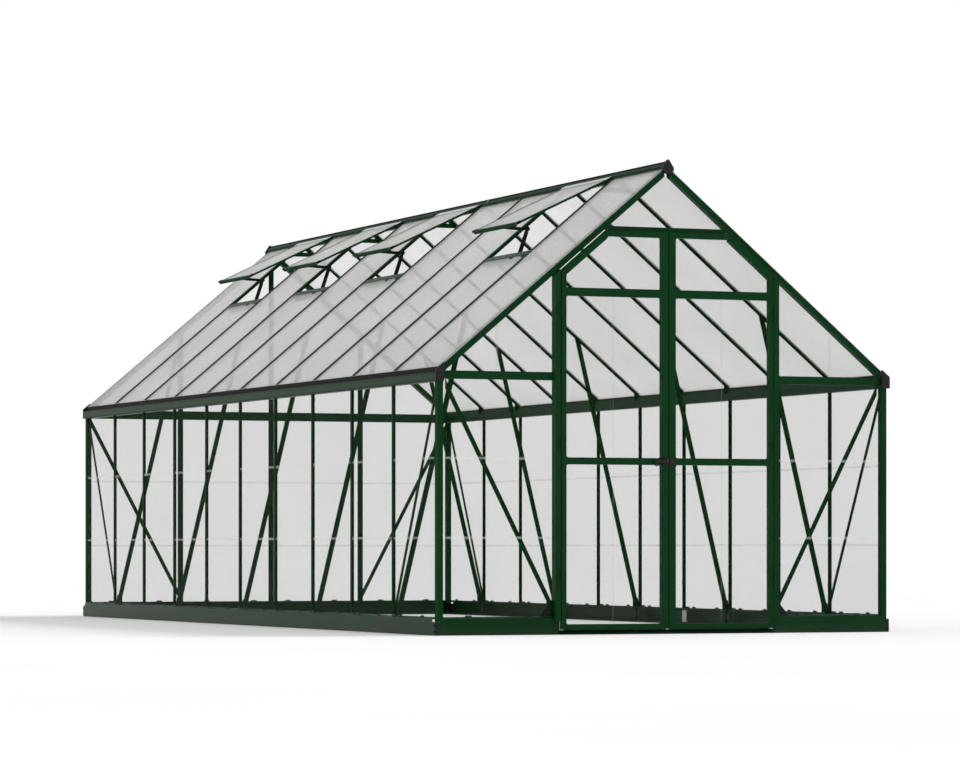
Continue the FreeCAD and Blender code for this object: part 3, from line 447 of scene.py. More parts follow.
gutter_low, gutter_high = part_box("gutter_right")
gutter_run = (0, gutter_high.y - gutter_low.y, 0)
gutter_outer_height = 0.042
gutter_lip = gutter_low.z + gutter_outer_height
lip_radius = 0.0028
lip_inset = 0.0015
lip_sides = 8
line_heights = (0.009, 0.033)
line_half = 0.0012
line_proud = 0.0009
gutter_beads = bmesh.new()
for side in (-1, 1):
    middle = Vector((side * (gutter_high.x - lip_inset), gutter_low.y, gutter_lip))
    ring = []
    for i in range(lip_sides):
        angle = 2 * math.pi * i / lip_sides
        ring.append(middle + Vector((lip_radius * math.cos(angle), 0, lip_radius * math.sin(angle))))
    add_prism(gutter_beads, ring, gutter_run)
    face = side * gutter_high.x
    for up in line_heights:
        z = gutter_low.z + up
        outline = [(face, gutter_low.y, z - line_half), (face + side * line_proud, gutter_low.y, z),
                   (face, gutter_low.y, z + line_half)]
        add_prism(gutter_beads, outline, gutter_run)
new_piece("gutter_beads", "frame", painted_shade_green, gutter_beads)

# Painted shadow: a dark strip along the foot of each gutter, standing for the shadow line under it.
shadow_line_gap = 0.0002
shadow_line_proud = 0.0012
shadow_line_height = 0.006
gutter_shadow_lines = bmesh.new()
for side in (-1, 1):
    add_plate(gutter_shadow_lines, (side * (gutter_high.x + shadow_line_gap), gutter_low.y, gutter_low.z),
              (side * (gutter_high.x + shadow_line_proud), gutter_high.y, gutter_low.z + shadow_line_height))
new_piece("gutter_painted_shadow_lines", "frame", painted_shade_green, gutter_shadow_lines)

cap_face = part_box("gutter_end_caps")[1].y
cap_screw_insets = (0.012, 0.034)
cap_screw_rise = 0.018
gutter_cap_screws = bmesh.new()
for side in (-1, 1):
    for end in (-1, 1):
        for inset in cap_screw_insets:
            place = (side * (gutter_high.x - inset), end * cap_face, gutter_low.z + cap_screw_rise)
            add_screw(gutter_cap_screws, place, (0, end, 0), small_screw)
new_piece("gutter_cap_screws", "frame", black_plastic, gutter_cap_screws)


# Gable bars and rafters: green extrusions that carry the roof from the gutters to the ridge.
# The end pair has a grooved outer face, with a clear joiner between the sheets under it.
# A dark capping strip is snapped over each rafter between the sheets, and is narrower beside the vents.
dress(green_coat, "gable_eave_bars", "gable_rafters")
dress(bar_coat, "rafters_left", "rafters_right")

roof_pitch = math.radians(40)
roof_rise = math.tan(roof_pitch)
rafter_low, rafter_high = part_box("rafters_right")
roof_apex = rafter_high.z + roof_rise * rafter_low.x
slope_out = Vector((math.sin(roof_pitch), 0, math.cos(roof_pitch)))


def roof_point(x, y, above):
    """A point over x on the right-hand slope, that far above the rafter tops, square to the slope."""
    return Vector((x, y, roof_apex - roof_rise * x)) + slope_out * above


def mirrored(point, side):
    """The point itself, or its mirror image on the left slope."""
    return Vector((side * point[0], point[1], point[2]))


frame_lines = [(low.y + high.y) / 2 for low, high in solid_boxes("rafters_right")]
capping = new_finish("dark_capping_strip", shine=0.04, patch=0.15,
                     colours=((0.026, 0.046, 0.033), (0.036, 0.060, 0.044)),
                     grain=0.003, depth=0.00006, gloss=(0.45, 0.6))

capping_head = 0.030
capping_foot = rafter_high.x + 0.003
capping_half = 0.026
capping_half_by_vents = 0.0125
vent_reach = 0.520
capping_lengths = {-1: ((vent_reach, capping_head, capping_half_by_vents),
                        (capping_foot, vent_reach, capping_half)),
                   1: ((capping_foot, capping_head, capping_half),)}
crown = 0.0008
crown_half = 0.0105
shoulder = 0.0002
shoulder_half = 0.0120
under_crown = 0.0001
leg_half = 0.0113
wing_edge = -0.0030
cappings = bmesh.new()
for side in (-1, 1):
    for foot, head, half in capping_lengths[side]:
        section = [(-half, wing_edge), (-shoulder_half, shoulder), (-crown_half, crown),
                   (crown_half, crown), (shoulder_half, shoulder), (half, wing_edge), (leg_half, wing_edge),
                   (leg_half, under_crown), (-leg_half, under_crown), (-leg_half, wing_edge)]
        climb = mirrored(roof_point(head, 0, 0) - roof_point(foot, 0, 0), side)
        for y in frame_lines:
            outline = [mirrored(roof_point(foot, y + across, above), side) for across, above in section]
            add_prism(cappings, outline, climb)
new_piece("rafter_cappings", "frame", capping, cappings)

rafter_bolt = 0.0035
rafter_bolt_inset = 0.030
rafter_bolts = bmesh.new()
for side in (-1, 1):
    for y in frame_lines:
        place = mirrored(roof_point(rafter_high.x - rafter_bolt_inset, y, crown), side)
        add_screw(rafter_bolts, place, mirrored(slope_out, side), rafter_bolt)
new_piece("rafter_bolts", "frame", black_steel, rafter_bolts)

joiner_line = 0.894
joiner_half = 0.006
joiner_front = 0.0014
joiner_back = 0.0002
joiner_lift = 0.0004
rafter_underside = 0.038
bar_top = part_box("gable_eave_bars")[1].z
joiner_top = roof_apex - roof_rise * (joiner_line + joiner_half) - rafter_underside / math.cos(roof_pitch)
gable_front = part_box("gable_panels_front")[0].y
sheet_joiners = bmesh.new()
for side in (-1, 1):
    add_plate(sheet_joiners,
              (side * (joiner_line - joiner_half), gable_front - joiner_front, bar_top + joiner_lift),
              (side * (joiner_line + joiner_half), gable_front - joiner_back, joiner_top))
new_piece("gable_sheet_joiners", "frame", faint_line, sheet_joiners)


# Ridge: one hollow green extrusion with steep sides, and a moulded black cap over each end.
# Dark sealing strips run along its crest and along the foot of each side, and a clip covers its one joint.
ridge_coat = new_finish("ridge_green_coat", shine=0.038, patch=0.30, colours=(coat_green_deep, coat_green),
                        grain=coat_grain, depth=coat_peel, gloss=(0.32, 0.45))
dress(ridge_coat, "ridge_beam")
dress(black_plastic, "ridge_end_caps")
ease("ridge_end_caps", width=0.003)

ridge_low, ridge_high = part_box("ridge_beam")
ridge_crest_half = 0.007
ridge_wing = ridge_high.x
ridge_wing_thickness = 0.007
wing_top = roof_apex - roof_rise * ridge_wing + ridge_wing_thickness
ridge_side = Vector((ridge_wing - ridge_crest_half, 0, wing_top - ridge_high.z))
ridge_side_out = Vector((-ridge_side.z, 0, ridge_side.x)).normalized()


def ridge_point(along, out, y):
    """A point on the right side of the ridge: a share of the way down, and that far out."""
    return Vector((ridge_crest_half, y, ridge_high.z)) + ridge_side * along + ridge_side_out * out


def ridge_outline(section, y, side):
    """A section of (share of the way down, distance out) on one side of the ridge, at a place along it."""
    return [mirrored(ridge_point(along, out, y), side) for along, out in section]


strip_spans = ((-0.03, 0.25), (0.80, 1.0))
strip_flank = 0.04
strip_gap = 0.0002
strip_proud = 0.0022
ridge_strips = bmesh.new()
for side in (-1, 1):
    for start, end in strip_spans:
        section = [(start, strip_gap), (start + strip_flank, strip_proud), (end - strip_flank, strip_proud),
                   (end, strip_gap)]
        outline = ridge_outline(section, ridge_low.y, side)
        add_prism(ridge_strips, outline, (0, ridge_high.y - ridge_low.y, 0))
new_piece("ridge_sealing_strips", "frame", rubber, ridge_strips)

ridge_joint = -0.674
clip_length = 0.040
clip_front = ridge_joint - clip_length / 2
clip_gap = 0.0004
clip_proud = 0.0032
crest_gap = 0.0002
crest_proud = 0.002
clip_section = [(0.0, clip_proud), (1.0, clip_proud), (1.0, clip_gap), (0.0, clip_gap)]
ridge_clip = bmesh.new()
for side in (1, -1):
    add_prism(ridge_clip, ridge_outline(clip_section, clip_front, side), (0, clip_length, 0))
add_plate(ridge_clip, (-ridge_crest_half, clip_front, ridge_high.z + crest_gap),
          (ridge_crest_half, clip_front + clip_length, ridge_high.z + crest_proud))
new_piece("ridge_joint_clip", "frame", ridge_coat, ridge_clip)

joint_width = 0.005
joint_front = clip_front - 0.006
joint_proud = 0.0034
joint_section = [(0.05, joint_proud), (0.75, joint_proud), (0.75, clip_gap), (0.05, clip_gap)]
joint_line = bmesh.new()
for side in (1, -1):
    add_prism(joint_line, ridge_outline(joint_section, joint_front, side), (0, joint_width, 0))
new_piece("ridge_joint_line", "frame", zinc, joint_line)

ridge_cap_low, ridge_cap_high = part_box("ridge_end_caps")
ridge_cap_screw_places = ((-0.016, 0.030), (0.016, 0.030), (0.0, 0.052))
ridge_cap_screws = bmesh.new()
for end in (-1, 1):
    for x, up in ridge_cap_screw_places:
        place = (x, end * ridge_cap_high.y, ridge_cap_low.z + up)
        add_screw(ridge_cap_screws, place, (0, end, 0), small_screw)
new_piece("ridge_cap_screws", "frame", black_plastic, ridge_cap_screws)


# Collar plates: green pressed plates with a triangular window, bolted under the ridge to every second
# rafter pair. Two bolts go through each arm of the plate into the rafter stem.
dress(bar_coat, "ridge_collar_plates")

bar_bolt = 0.004
collar_bolt_lines = (0.034, 0.060)
collar_bolt_level = -0.015
collar_bolts = bmesh.new()
for low, high in solid_boxes("ridge_collar_plates"):
    for side in (-1, 1):
        for x in collar_bolt_lines:
            place = mirrored(roof_point(x, high.y, collar_bolt_level), side)
            add_screw(collar_bolts, place, (0, 1, 0), bar_bolt)
new_piece("collar_bolts", "frame", black_steel, collar_bolts)


# Leaning braces: green flat bars from the base up to the rafters on every second frame line.
# Each foot is bolted between two cheeks over a plate that hangs down inside the base rail, with a black
# packer beside it.
dress(bar_coat, "leaning_braces")

brace_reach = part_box("leaning_braces")[1].x
plate_back = 0.0006
hanger_face = 0.0036
hanger_half = 0.014
hanger_foot = 0.016
hanger_head = 0.0875
hanger_bolt_heights = (0.034, 0.066)
cheek_inner = 0.034
cheek_outer = 0.0005
cheek_taper = 0.006
cheek_foot = 0.0885
cheek_head = 0.138
cheek_thickness = 0.003
cheek_outside = 0.0072
foot_bolt = 0.005
foot_bolt_inset = 0.020
foot_bolt_height = 0.112
packer_face = 0.006
packer_start = 0.052
packer_end = 0.015
packer_foot = 0.030
packer_head = 0.074
brace_feet = bmesh.new()
brace_packers = bmesh.new()
brace_bolts = bmesh.new()
for low, high in solid_boxes("leaning_braces"):
    side = 1 if high.x > 0 else -1
    y = (low.y + high.y) / 2
    back = side * (rail_inside - plate_back)
    hang = side * (rail_inside - hanger_face)
    add_plate(brace_feet, (hang, y - hanger_half, hanger_foot), (back, y + hanger_half, hanger_head))
    inner = side * (brace_reach - cheek_inner)
    outer = side * (brace_reach - cheek_outer)
    shape = [(inner, cheek_foot), (outer, cheek_foot), (outer - side * cheek_taper, cheek_head),
             (inner, cheek_head)]
    for near in (y - cheek_outside, y + cheek_outside - cheek_thickness):
        add_prism(brace_feet, [(x, near, z) for x, z in shape], (0, cheek_thickness, 0))
    for way in (-1, 1):
        place = (side * (brace_reach - foot_bolt_inset), y + way * cheek_outside, foot_bolt_height)
        add_screw(brace_bolts, place, (0, way, 0), foot_bolt)
    for z in hanger_bolt_heights:
        add_screw(brace_bolts, (hang, y, z), (-side, 0, 0), bar_bolt)
    add_plate(brace_packers, (side * (rail_inside - packer_face), y - packer_start, packer_foot),
              (back, y - packer_end, packer_head))
new_piece("brace_feet", "frame", bar_coat, brace_feet, edge=0.0008)
new_piece("brace_packers", "frame", black_plastic, brace_packers, edge=0.002)
new_piece("brace_bolts", "frame", black_steel, brace_bolts)


# Diagonal strips: flat green bars across the corner bays that keep the walls square.
# They lie just inside the sheets, and a wider sleeve round each gable strip stiffens it.
dress(bar_coat, "gable_strips", "wall_strips")

sleeve_spread = 0.007
sleeve_gap = 0.0002
touching = 0.0005
gable_strip_covers = bmesh.new()
for low, high in solid_boxes("gable_strips"):
    inner, outer = (low.x, high.x) if low.x > 0 else (high.x, low.x)
    ends = {}
    for corner in cad["gable_strips"].data.vertices:
        if low.y - touching < corner.co.y < high.y + touching:
            for x in (inner, outer):
                if abs(corner.co.x - x) < touching:
                    ends.setdefault(x, []).append(corner.co.z)
    shape = [(inner, min(ends[inner]) - sleeve_spread), (outer, min(ends[outer]) - sleeve_spread),
             (outer, max(ends[outer]) + sleeve_spread), (inner, max(ends[inner]) + sleeve_spread)]
    outline = [(x, low.y - sleeve_gap, z) for x, z in shape]
    add_prism(gable_strip_covers, outline, (0, high.y - low.y + 2 * sleeve_gap, 0))
new_piece("gable_strip_covers", "frame", bar_coat, gable_strip_covers)


# Roof sheets: twin-wall polycarbonate with flutes down the slope, milky against the light.
# A black trim closes the open flutes along the lower edge. Its leg, hanging down to the gutter lip, is
# painted shade as well: it darkens the shaded gap between the sheet edge and the gutter.
twin_wall = new_finish("twin_wall_polycarbonate", shine=0.4, patch=0.5,
                       colours=((0.835, 0.835, 0.83), (0.875, 0.875, 0.87)),
                       grain=0.015, depth=0.00003, gloss=(0.18, 0.30))
twin_wall.surface_render_method = "BLENDED"
flute_width = 0.012


def flutes_over(finish):
    """Pale and darker stripes down the slope, one for each flute."""
    tree = finish.node_tree
    place = tree.nodes.new("ShaderNodeTexCoord")
    stripes = tree.nodes.new("ShaderNodeTexWave")
    stripes.wave_type = "BANDS"
    stripes.bands_direction = "Y"
    stripes.inputs["Scale"].default_value = 2 * math.pi / (20 * flute_width)
    stripes.inputs["Distortion"].default_value = 0.3
    tree.links.new(place.outputs["Object"], stripes.inputs["Vector"])
    return stripes.outputs["Fac"]


def let_light_through(finish, share, milkiness):
    """Let the milky part of a sheet pass on that share of its light, and leave the rest of it clear."""
    tree = finish.node_tree
    glow = tree.nodes.new("ShaderNodeBsdfTranslucent")
    tree.links.new(colour_of(finish), glow.inputs["Color"])
    milky = tree.nodes.new("ShaderNodeMixShader")
    milky.inputs["Fac"].default_value = share
    tree.links.new(shader_of(finish).outputs["BSDF"], milky.inputs[1])
    tree.links.new(glow.outputs["BSDF"], milky.inputs[2])
    clear = tree.nodes.new("ShaderNodeBsdfTransparent")
    sheet = tree.nodes.new("ShaderNodeMixShader")
    tree.links.new(milkiness, sheet.inputs["Fac"])
    tree.links.new(clear.outputs["BSDF"], sheet.inputs[1])
    tree.links.new(milky.outputs["Shader"], sheet.inputs[2])
    tree.links.new(sheet.outputs["Shader"], tree.nodes["Material Output"].inputs["Surface"])


milkiness = spread(twin_wall, flutes_over(twin_wall), 0.0, 1.0, 0.35, 0.39)
let_light_through(twin_wall, share=0.64, milkiness=milkiness)
dress(twin_wall, "roof_panels_left", "roof_panels_right")

eave_trim_and_shade_finish = new_finish("black_eave_trim_and_painted_shade", shine=0.06, patch=0.08,
                       colours=((0.005, 0.008, 0.006), (0.008, 0.012, 0.009)),
                       grain=0.002, depth=0.00005, gloss=(0.5, 0.65))

sheet_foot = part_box("roof_panels_right")[1].x
trim_head = roof_point(sheet_foot, 0, 0).z - 0.0050
trim_foot = gutter_lip + 0.0012
# The leg from the sheet edge down to the gutter lip is a dark strip of painted shade.
trim_section = [(0.0003, trim_head - 0.0010), (0.0014, trim_head), (0.0030, trim_head - 0.0014),
                (0.0050, trim_foot), (0.0034, trim_foot), (0.0012, trim_head - 0.0120),
                (0.0003, trim_head - 0.0110)]
eave_trims_and_shade = bmesh.new()
for side in (-1, 1):
    outline = [(side * (sheet_foot + out), gutter_low.y, z) for out, z in trim_section]
    add_prism(eave_trims_and_shade, outline, gutter_run)
new_piece("roof_eave_trims_and_painted_shade", "frame", eave_trim_and_shade_finish, eave_trims_and_shade)


# Roof vents: green frames round twin-wall sheets, hung from the ridge on a rolled bead.
# Each is held open by a black elbow stay, its foot rail has black moulded end blocks, and a milky hood
# laps over the side of the ridge to keep the rain out.
black_metal = new_finish("black_enamelled_steel", shine=0.08, patch=0.03,
                         colours=((0.006, 0.006, 0.0065), (0.011, 0.011, 0.0115)),
                         grain=0.0025, depth=0.00005, gloss=(0.28, 0.42))
dress(green_coat, "vent_sills")

milky_hood = new_finish("milky_hood_strip", shine=0.3, patch=0.4,
                        colours=((0.56, 0.565, 0.58), (0.64, 0.645, 0.66)),
                        grain=0.012, depth=0.00004, gloss=(0.35, 0.5))

sill_foot = -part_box("vent_sills")[0].x
shortest_sill = 0.3
sill_bars = [(low, high) for low, high in solid_boxes("vent_sills") if high.y - low.y > shortest_sill]


def sill_outline(section, y):
    """A section of (distance down the slope, height over the rafters) from the foot of a sill."""
    return [mirrored(roof_point(sill_foot + down, y, above), -1) for down, above in section]


sill_clip_width = 0.026
sill_clip_from_middle = 0.120
sill_clip_from_end = 0.016
sill_clip_section = [(0.0120, -0.0031), (0.0260, -0.0031), (0.0240, 0.0010), (0.0120, 0.0016)]
sill_clips = bmesh.new()
for low, high in sill_bars:
    for y in ((low.y + high.y) / 2 - sill_clip_from_middle, low.y + sill_clip_from_end):
        add_prism(sill_clips, sill_outline(sill_clip_section, y), (0, sill_clip_width, 0))
new_piece("vent_sill_clips", "frame", black_plastic, sill_clips, edge=0.001)

# A folded cover on each sill laps over the upper end of the sheet below it.
sill_cover_section = [(-0.0238, -0.0098), (-0.0238, -0.0078), (-0.0112, -0.0078), (-0.0092, -0.0012),
                      (0.0115, -0.0012), (0.0115, -0.0031), (0.0001, -0.0031), (-0.0003, -0.0098)]
sill_covers = bmesh.new()
for low, high in sill_bars:
    add_prism(sill_covers, sill_outline(sill_cover_section, low.y), (0, high.y - low.y, 0))
new_piece("vent_sill_covers", "frame", green_coat, sill_covers)

vent_tilt = math.radians(25.3)
vent_down = Vector((-math.cos(vent_tilt), 0, -math.sin(vent_tilt)))
vent_out = Vector((-math.sin(vent_tilt), 0, math.cos(vent_tilt)))
vent_length = 0.565
hinge_place = Vector((-0.0314, 0, 2.2809))
stay_head = Vector((-0.5082, 0, 2.0494))
stay_elbow = Vector((-0.3629, 0, 2.0414))
stay_foot = Vector((-0.4157, 0, 1.8861))


def vent_outline(section, y):
    """A section of (distance down from the hinge, distance out from the sheet) of an open vent."""
    return [hinge_place + vent_down * down + vent_out * out + Vector((0, y, 0)) for down, out in section]


block_width = 0.022
block_inner = vent_length - 0.024
block_outer = vent_length + 0.0012
block_top = 0.0090
block_foot = -0.0044
block_section = [(block_inner, block_top), (block_outer, block_top), (block_outer, block_foot),
                 (block_inner, block_foot)]
rim_width = 0.026
seal_inset = 0.022
seal_lip = 0.004
seal_top = 0.0042
seal_level = 0.0030
hood_down = 0.024
hood_margin = 0.006
hood_foot = 0.0062
hood_thickness = 0.0012
hood_rest = 0.86
hood_clear = 0.0045
web_setback = 0.016
web_thickness = 0.0044
web_below = 0.0105
stay_webs = (("upper_arm", stay_head, stay_elbow, 0.0060, 0.0008),
             ("lower_arm", stay_elbow, stay_foot, 0.0105, -0.0052))
stay_rivet = 0.0040
stay_face = 0.0052
boss_profile = [(0.0125, 0), (0.0125, 0.0020), (0.0105, 0.0034), (0.0060, 0.0036), (0.0052, 0.0046)]
boss_steps = 20

for number in (1, 2, 3, 4):
    vent = f"vent_{number}"
    dress(bar_coat, f"{vent}_frame")
    dress(twin_wall, f"{vent}_panel")
    dress(black_metal, f"{vent}_upper_stay", f"{vent}_lower_stay")
    frame_low, frame_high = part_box(f"{vent}_frame")
    vent_line = (frame_low.y + frame_high.y) / 2
    half_foot = (frame_high.y - frame_low.y) / 2

    # End blocks close the hollow foot rail and stand a little proud of it.
    blocks = bmesh.new()
    for end in (-1, 1):
        tip = vent_line + end * half_foot
        add_prism(blocks, vent_outline(block_section, tip), (0, -end * block_width, 0))
    new_piece(f"{vent}_end_blocks", vent, black_plastic, blocks, edge=0.0015)

    # A rubber seal runs down each side of the sheet, just inside the frame.
    seal = bmesh.new()
    for end in (-1, 1):
        rim = vent_line + end * (half_foot - rim_width)
        shape = vent_outline([(seal_inset, seal_top)], rim)
        shape += vent_outline([(seal_inset, seal_level)], rim - end * seal_lip)
        shape += vent_outline([(seal_inset, seal_level)], rim)
        add_prism(seal, shape, vent_down * (vent_length - 2 * seal_inset))
    new_piece(f"{vent}_seals", vent, rubber, seal)

    # The hood springs from the head rail and rests just clear of the ridge side.
    hood = bmesh.new()
    hood_start = vent_line - half_foot + hood_margin
    rest = mirrored(ridge_point(hood_rest, hood_clear, hood_start), -1)
    shape = vent_outline([(hood_down, hood_foot), (hood_down, hood_foot + hood_thickness)], hood_start)
    shape += [rest + Vector((0, 0, hood_thickness)), rest]
    add_prism(hood, shape, (0, 2 * (half_foot - hood_margin), 0))
    new_piece(f"{vent}_hood", vent, milky_hood, hood)

    # A pressed web along each stay bar keeps it from bending.
    for arm, start, end, web_above, near in stay_webs:
        along = (end - start).normalized()
        across = Vector((-along.z, 0, along.x))
        first = start + along * web_setback + Vector((0, vent_line + near, 0))
        last = end - along * web_setback + Vector((0, vent_line + near, 0))
        shape = [first - across * web_below, last - across * web_below, last + across * web_above,
                 first + across * web_above]
        web = bmesh.new()
        add_prism(web, shape, (0, web_thickness, 0))
        new_piece(f"{vent}_{arm}_web", f"{vent}_{arm}", black_metal, web)

    # Rivets hold the stay to the foot rail bracket and on the sill bracket, with a round boss at the elbow.
    head_rivet = bmesh.new()
    add_screw(head_rivet, stay_head + Vector((0, vent_line + stay_face, 0)), (0, 1, 0), stay_rivet)
    new_piece(f"{vent}_stay_head_rivet", f"{vent}_upper_arm", black_metal, head_rivet)
    for arm, way in (("upper_arm", 1), ("lower_arm", -1)):
        boss = bmesh.new()
        place = stay_elbow + Vector((0, vent_line + way * stay_face, 0))
        add_turned(boss, boss_profile, place, (0, way, 0), boss_steps)
        new_piece(f"{vent}_{arm}_elbow_boss", f"{vent}_{arm}", black_metal, boss)
    foot_rivet = bmesh.new()
    add_screw(foot_rivet, stay_foot + Vector((0, vent_line - stay_face, 0)), (0, -1, 0), stay_rivet)
    new_piece(f"{vent}_stay_foot_rivet", f"{vent}_lower_arm", black_metal, foot_rivet)


# Doorway: hollow green jambs from the base to the rafters, with a header bar between the rafters.
# Black plates brace the jamb feet on the base, and a rubber strip under the header stops the doors. The
# black strip is partly painted shadow: it darkens the gap line between the header and the leaf tops.
dress(green_coat, "door_jambs", "door_header")
dress(black_plastic, "jamb_foot_gussets")
ease("jamb_foot_gussets", width=0.001)

gusset_low, gusset_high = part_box("jamb_foot_gussets")
jamb_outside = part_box("door_jambs")[1].x
gusset_screw_places = ((0.012, 0.056), (0.012, 0.022), (0.044, 0.012))
gusset_screws = bmesh.new()
for side in (-1, 1):
    for out, up in gusset_screw_places:
        place = (side * (jamb_outside + out), gusset_high.y, gusset_low.z + up)
        add_screw(gusset_screws, place, (0, 1, 0), bar_bolt)
new_piece("gusset_screws", "frame", black_steel, gusset_screws)

header_low, header_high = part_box("door_header")
stop_margin = 0.020
stop_depth = 0.010
stop_thickness = 0.0026
stop_gap = 0.0001
stop_proud = 0.0002
# Partly painted shadow: the black strip darkens the gap line under the header.
stop_and_shadow_strip = bmesh.new()
add_plate(stop_and_shadow_strip,
          (header_low.x + stop_margin, header_low.y - stop_proud, header_low.z - stop_thickness),
          (header_high.x - stop_margin, header_low.y + stop_depth, header_low.z - stop_gap))
new_piece("header_rubber_stop_and_shadow", "frame", rubber, stop_and_shadow_strip)


# Door leaves: hollow green tubes joined at the corners, with three clear panes in each leaf.
# The openings have rounded corners, and a fine line is pressed down the middle of the two lower panes.
door_coat = new_finish("door_green_coat", shine=coat_shine, patch=0.25,
                       colours=(coat_green_deep, coat_green),
                       grain=coat_grain, depth=coat_peel, gloss=(0.30, 0.42))
dress(door_coat, "left_door_frame", "right_door_frame")
dress(clear_sheet, "left_door_panes", "right_door_panes")

leaf_low, leaf_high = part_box("right_door_frame")
leaf_front = leaf_low.y
leaf_back = leaf_high.y
hinge_stile = leaf_high.x - 0.025
meeting_stile = leaf_low.x + 0.036
rail_tops = [leaf_low.z + 0.026, leaf_low.z + 0.836, leaf_low.z + 1.660]
rail_feet = [leaf_low.z + 0.802, leaf_low.z + 1.620, leaf_high.z - 0.030]
rail_middles = [leaf_low.z + 0.013, leaf_low.z + 0.819, leaf_low.z + 1.640]
chamfer_reach = 0.3257
chamfer_drop = (hinge_stile - chamfer_reach) * roof_rise
corner_radius = 0.012
corner_steps = 6
fill_inset = 0.0006


def rounded_corner(corner, before, after, radius):
    """Points of a round corner that meets the edges towards its two neighbours."""
    first = corner + (before - corner).normalized() * radius
    last = corner + (after - corner).normalized() * radius
    points = []
    for i in range(corner_steps + 1):
        share = i / corner_steps
        points.append(first * (1 - share) ** 2 + corner * 2 * share * (1 - share) + last * share ** 2)
    return points


lip_foot = leaf_high.x - 0.002
lip_bottom = 0.0448
lip_top = 0.0405
lip_front = 0.006
lip_depth = 0.012
lip_head = (roof_apex - lip_bottom / math.cos(roof_pitch) - leaf_high.z) / roof_rise
lip_corners = ((lip_foot, lip_bottom), (lip_head, lip_bottom), (lip_head, lip_top), (lip_foot, lip_top))
pane_mid = (hinge_stile + meeting_stile) / 2
pane_line_half = 0.003
pane_line_proud = 0.0010
tuft_step = 0.0045
tuft_margin = 0.01
tuft_half = 0.0016
tuft_front = leaf_back - 0.012
tuft_back = leaf_back - 0.009
tuft_drop = -0.0026
tuft_lean = 0.0006
tuft_wave = 1.7
tuft_count = int((leaf_high.x - leaf_low.x - 2 * tuft_margin) / tuft_step)
leaf_screw = 0.0035
leaf_screw_lines = (hinge_stile + 0.012, meeting_stile - 0.010)

for leaf, side in (("left", -1), ("right", 1)):
    body = f"{leaf}_door"
    fills = bmesh.new()
    for low, high in zip(rail_tops, rail_feet):
        opening = [(hinge_stile, low), (meeting_stile, low), (meeting_stile, high), (hinge_stile, high)]
        if low == rail_tops[-1]:
            opening[3:] = [(chamfer_reach, high), (hinge_stile, high - chamfer_drop)]
        corners = [Vector((side * x, leaf_front + fill_inset, z)) for x, z in opening]
        for j, corner in enumerate(corners):
            curve = rounded_corner(corner, corners[j - 1], corners[(j + 1) % len(corners)], corner_radius)
            add_prism(fills, [corner] + curve, (0, leaf_back - leaf_front - 2 * fill_inset, 0))
    new_piece(f"{body}_corner_fillets", body, door_coat, fills)

    # A lip along the sloped corner rail narrows the gap under the gable rafter.
    corner_lip = bmesh.new()
    shape = []
    for x, depth in lip_corners:
        z = roof_apex - roof_rise * x - depth / math.cos(roof_pitch)
        shape.append((side * x, leaf_front + lip_front, z))
    add_prism(corner_lip, shape, (0, lip_depth, 0))
    new_piece(f"{body}_corner_lip", body, door_coat, corner_lip)

    lines = bmesh.new()
    pane_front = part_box(f"{leaf}_door_panes")[0].y
    for low, high in zip(rail_tops[:2], rail_feet[:2]):
        outline = [(side * (pane_mid - pane_line_half), pane_front, low),
                   (side * pane_mid, pane_front - pane_line_proud, low),
                   (side * (pane_mid + pane_line_half), pane_front, low)]
        add_prism(lines, outline, (0, 0, high - low))
    new_piece(f"{body}_pane_lines", body, faint_line, lines)

    # A brush strip under the bottom rail keeps out the draught.
    brush = bmesh.new()
    for i in range(tuft_count):
        x = side * (leaf_low.x + tuft_margin + tuft_step * i)
        outline = [(x - tuft_half, tuft_front, leaf_low.z), (x + tuft_half, tuft_front, leaf_low.z),
                   (x + tuft_half, tuft_back, leaf_low.z), (x - tuft_half, tuft_back, leaf_low.z)]
        add_prism(brush, outline, (tuft_lean * math.sin(tuft_wave * i), 0, tuft_drop))
    new_piece(f"{body}_brush", body, rubber, brush)

    # Bolt heads show where the rails are screwed into the stiles.
    leaf_screws = bmesh.new()
    for z in rail_middles:
        for x in leaf_screw_lines:
            add_screw(leaf_screws, (side * x, leaf_back, z), (0, 1, 0), leaf_screw)
    new_piece(f"{body}_screws", body, black_steel, leaf_screws)

# The rubber strip between the leaves is fixed to the left one and covers the gap.
rubber_lap = 0.012
rubber_gap = 0.0004
rubber_margin = 0.010
rubber_lift = 0.0001
rubber_proud = 0.0022
meeting_rubber = bmesh.new()
add_plate(meeting_rubber, (-leaf_low.x - rubber_lap, leaf_back + rubber_lift, leaf_low.z + rubber_margin),
          (leaf_low.x - rubber_gap, leaf_back + rubber_proud, leaf_high.z - rubber_margin))
new_piece("left_door_meeting_rubber", "left_door", rubber, meeting_rubber, edge=0.0006)


# Door hinges: three steel barrel hinges on each leaf, coated with the door, with a loose black pin.
# Each pin has a domed head over its top knuckle, coated like the knuckles.
dress(door_coat, "jamb_knuckles", "left_door_knuckles", "right_door_knuckles")
dress(black_metal, "hinge_pins")

pin_head_profile = [(0.0038, 0), (0.0040, 0.0012), (0.0030, 0.0026), (0.0012, 0.0032)]
pin_heads = bmesh.new()
for low, high in solid_boxes("hinge_pins"):
    middle = Vector(((low.x + high.x) / 2, (low.y + high.y) / 2, high.z))
    add_turned(pin_heads, pin_head_profile, middle, (0, 0, 1))
new_piece("hinge_pin_heads", "frame", door_coat, pin_heads)


# Latch: a moulded black case on the left leaf with a turning lever, and a keeper on the right leaf.
# The lever is a tapered grip that ends in a ring, and a domed cap hides its spindle.
dress(black_plastic, "latch_case", "latch_keeper", "latch_lever")
for name in ("latch_case", "latch_keeper"):
    ease(name, width=0.002)

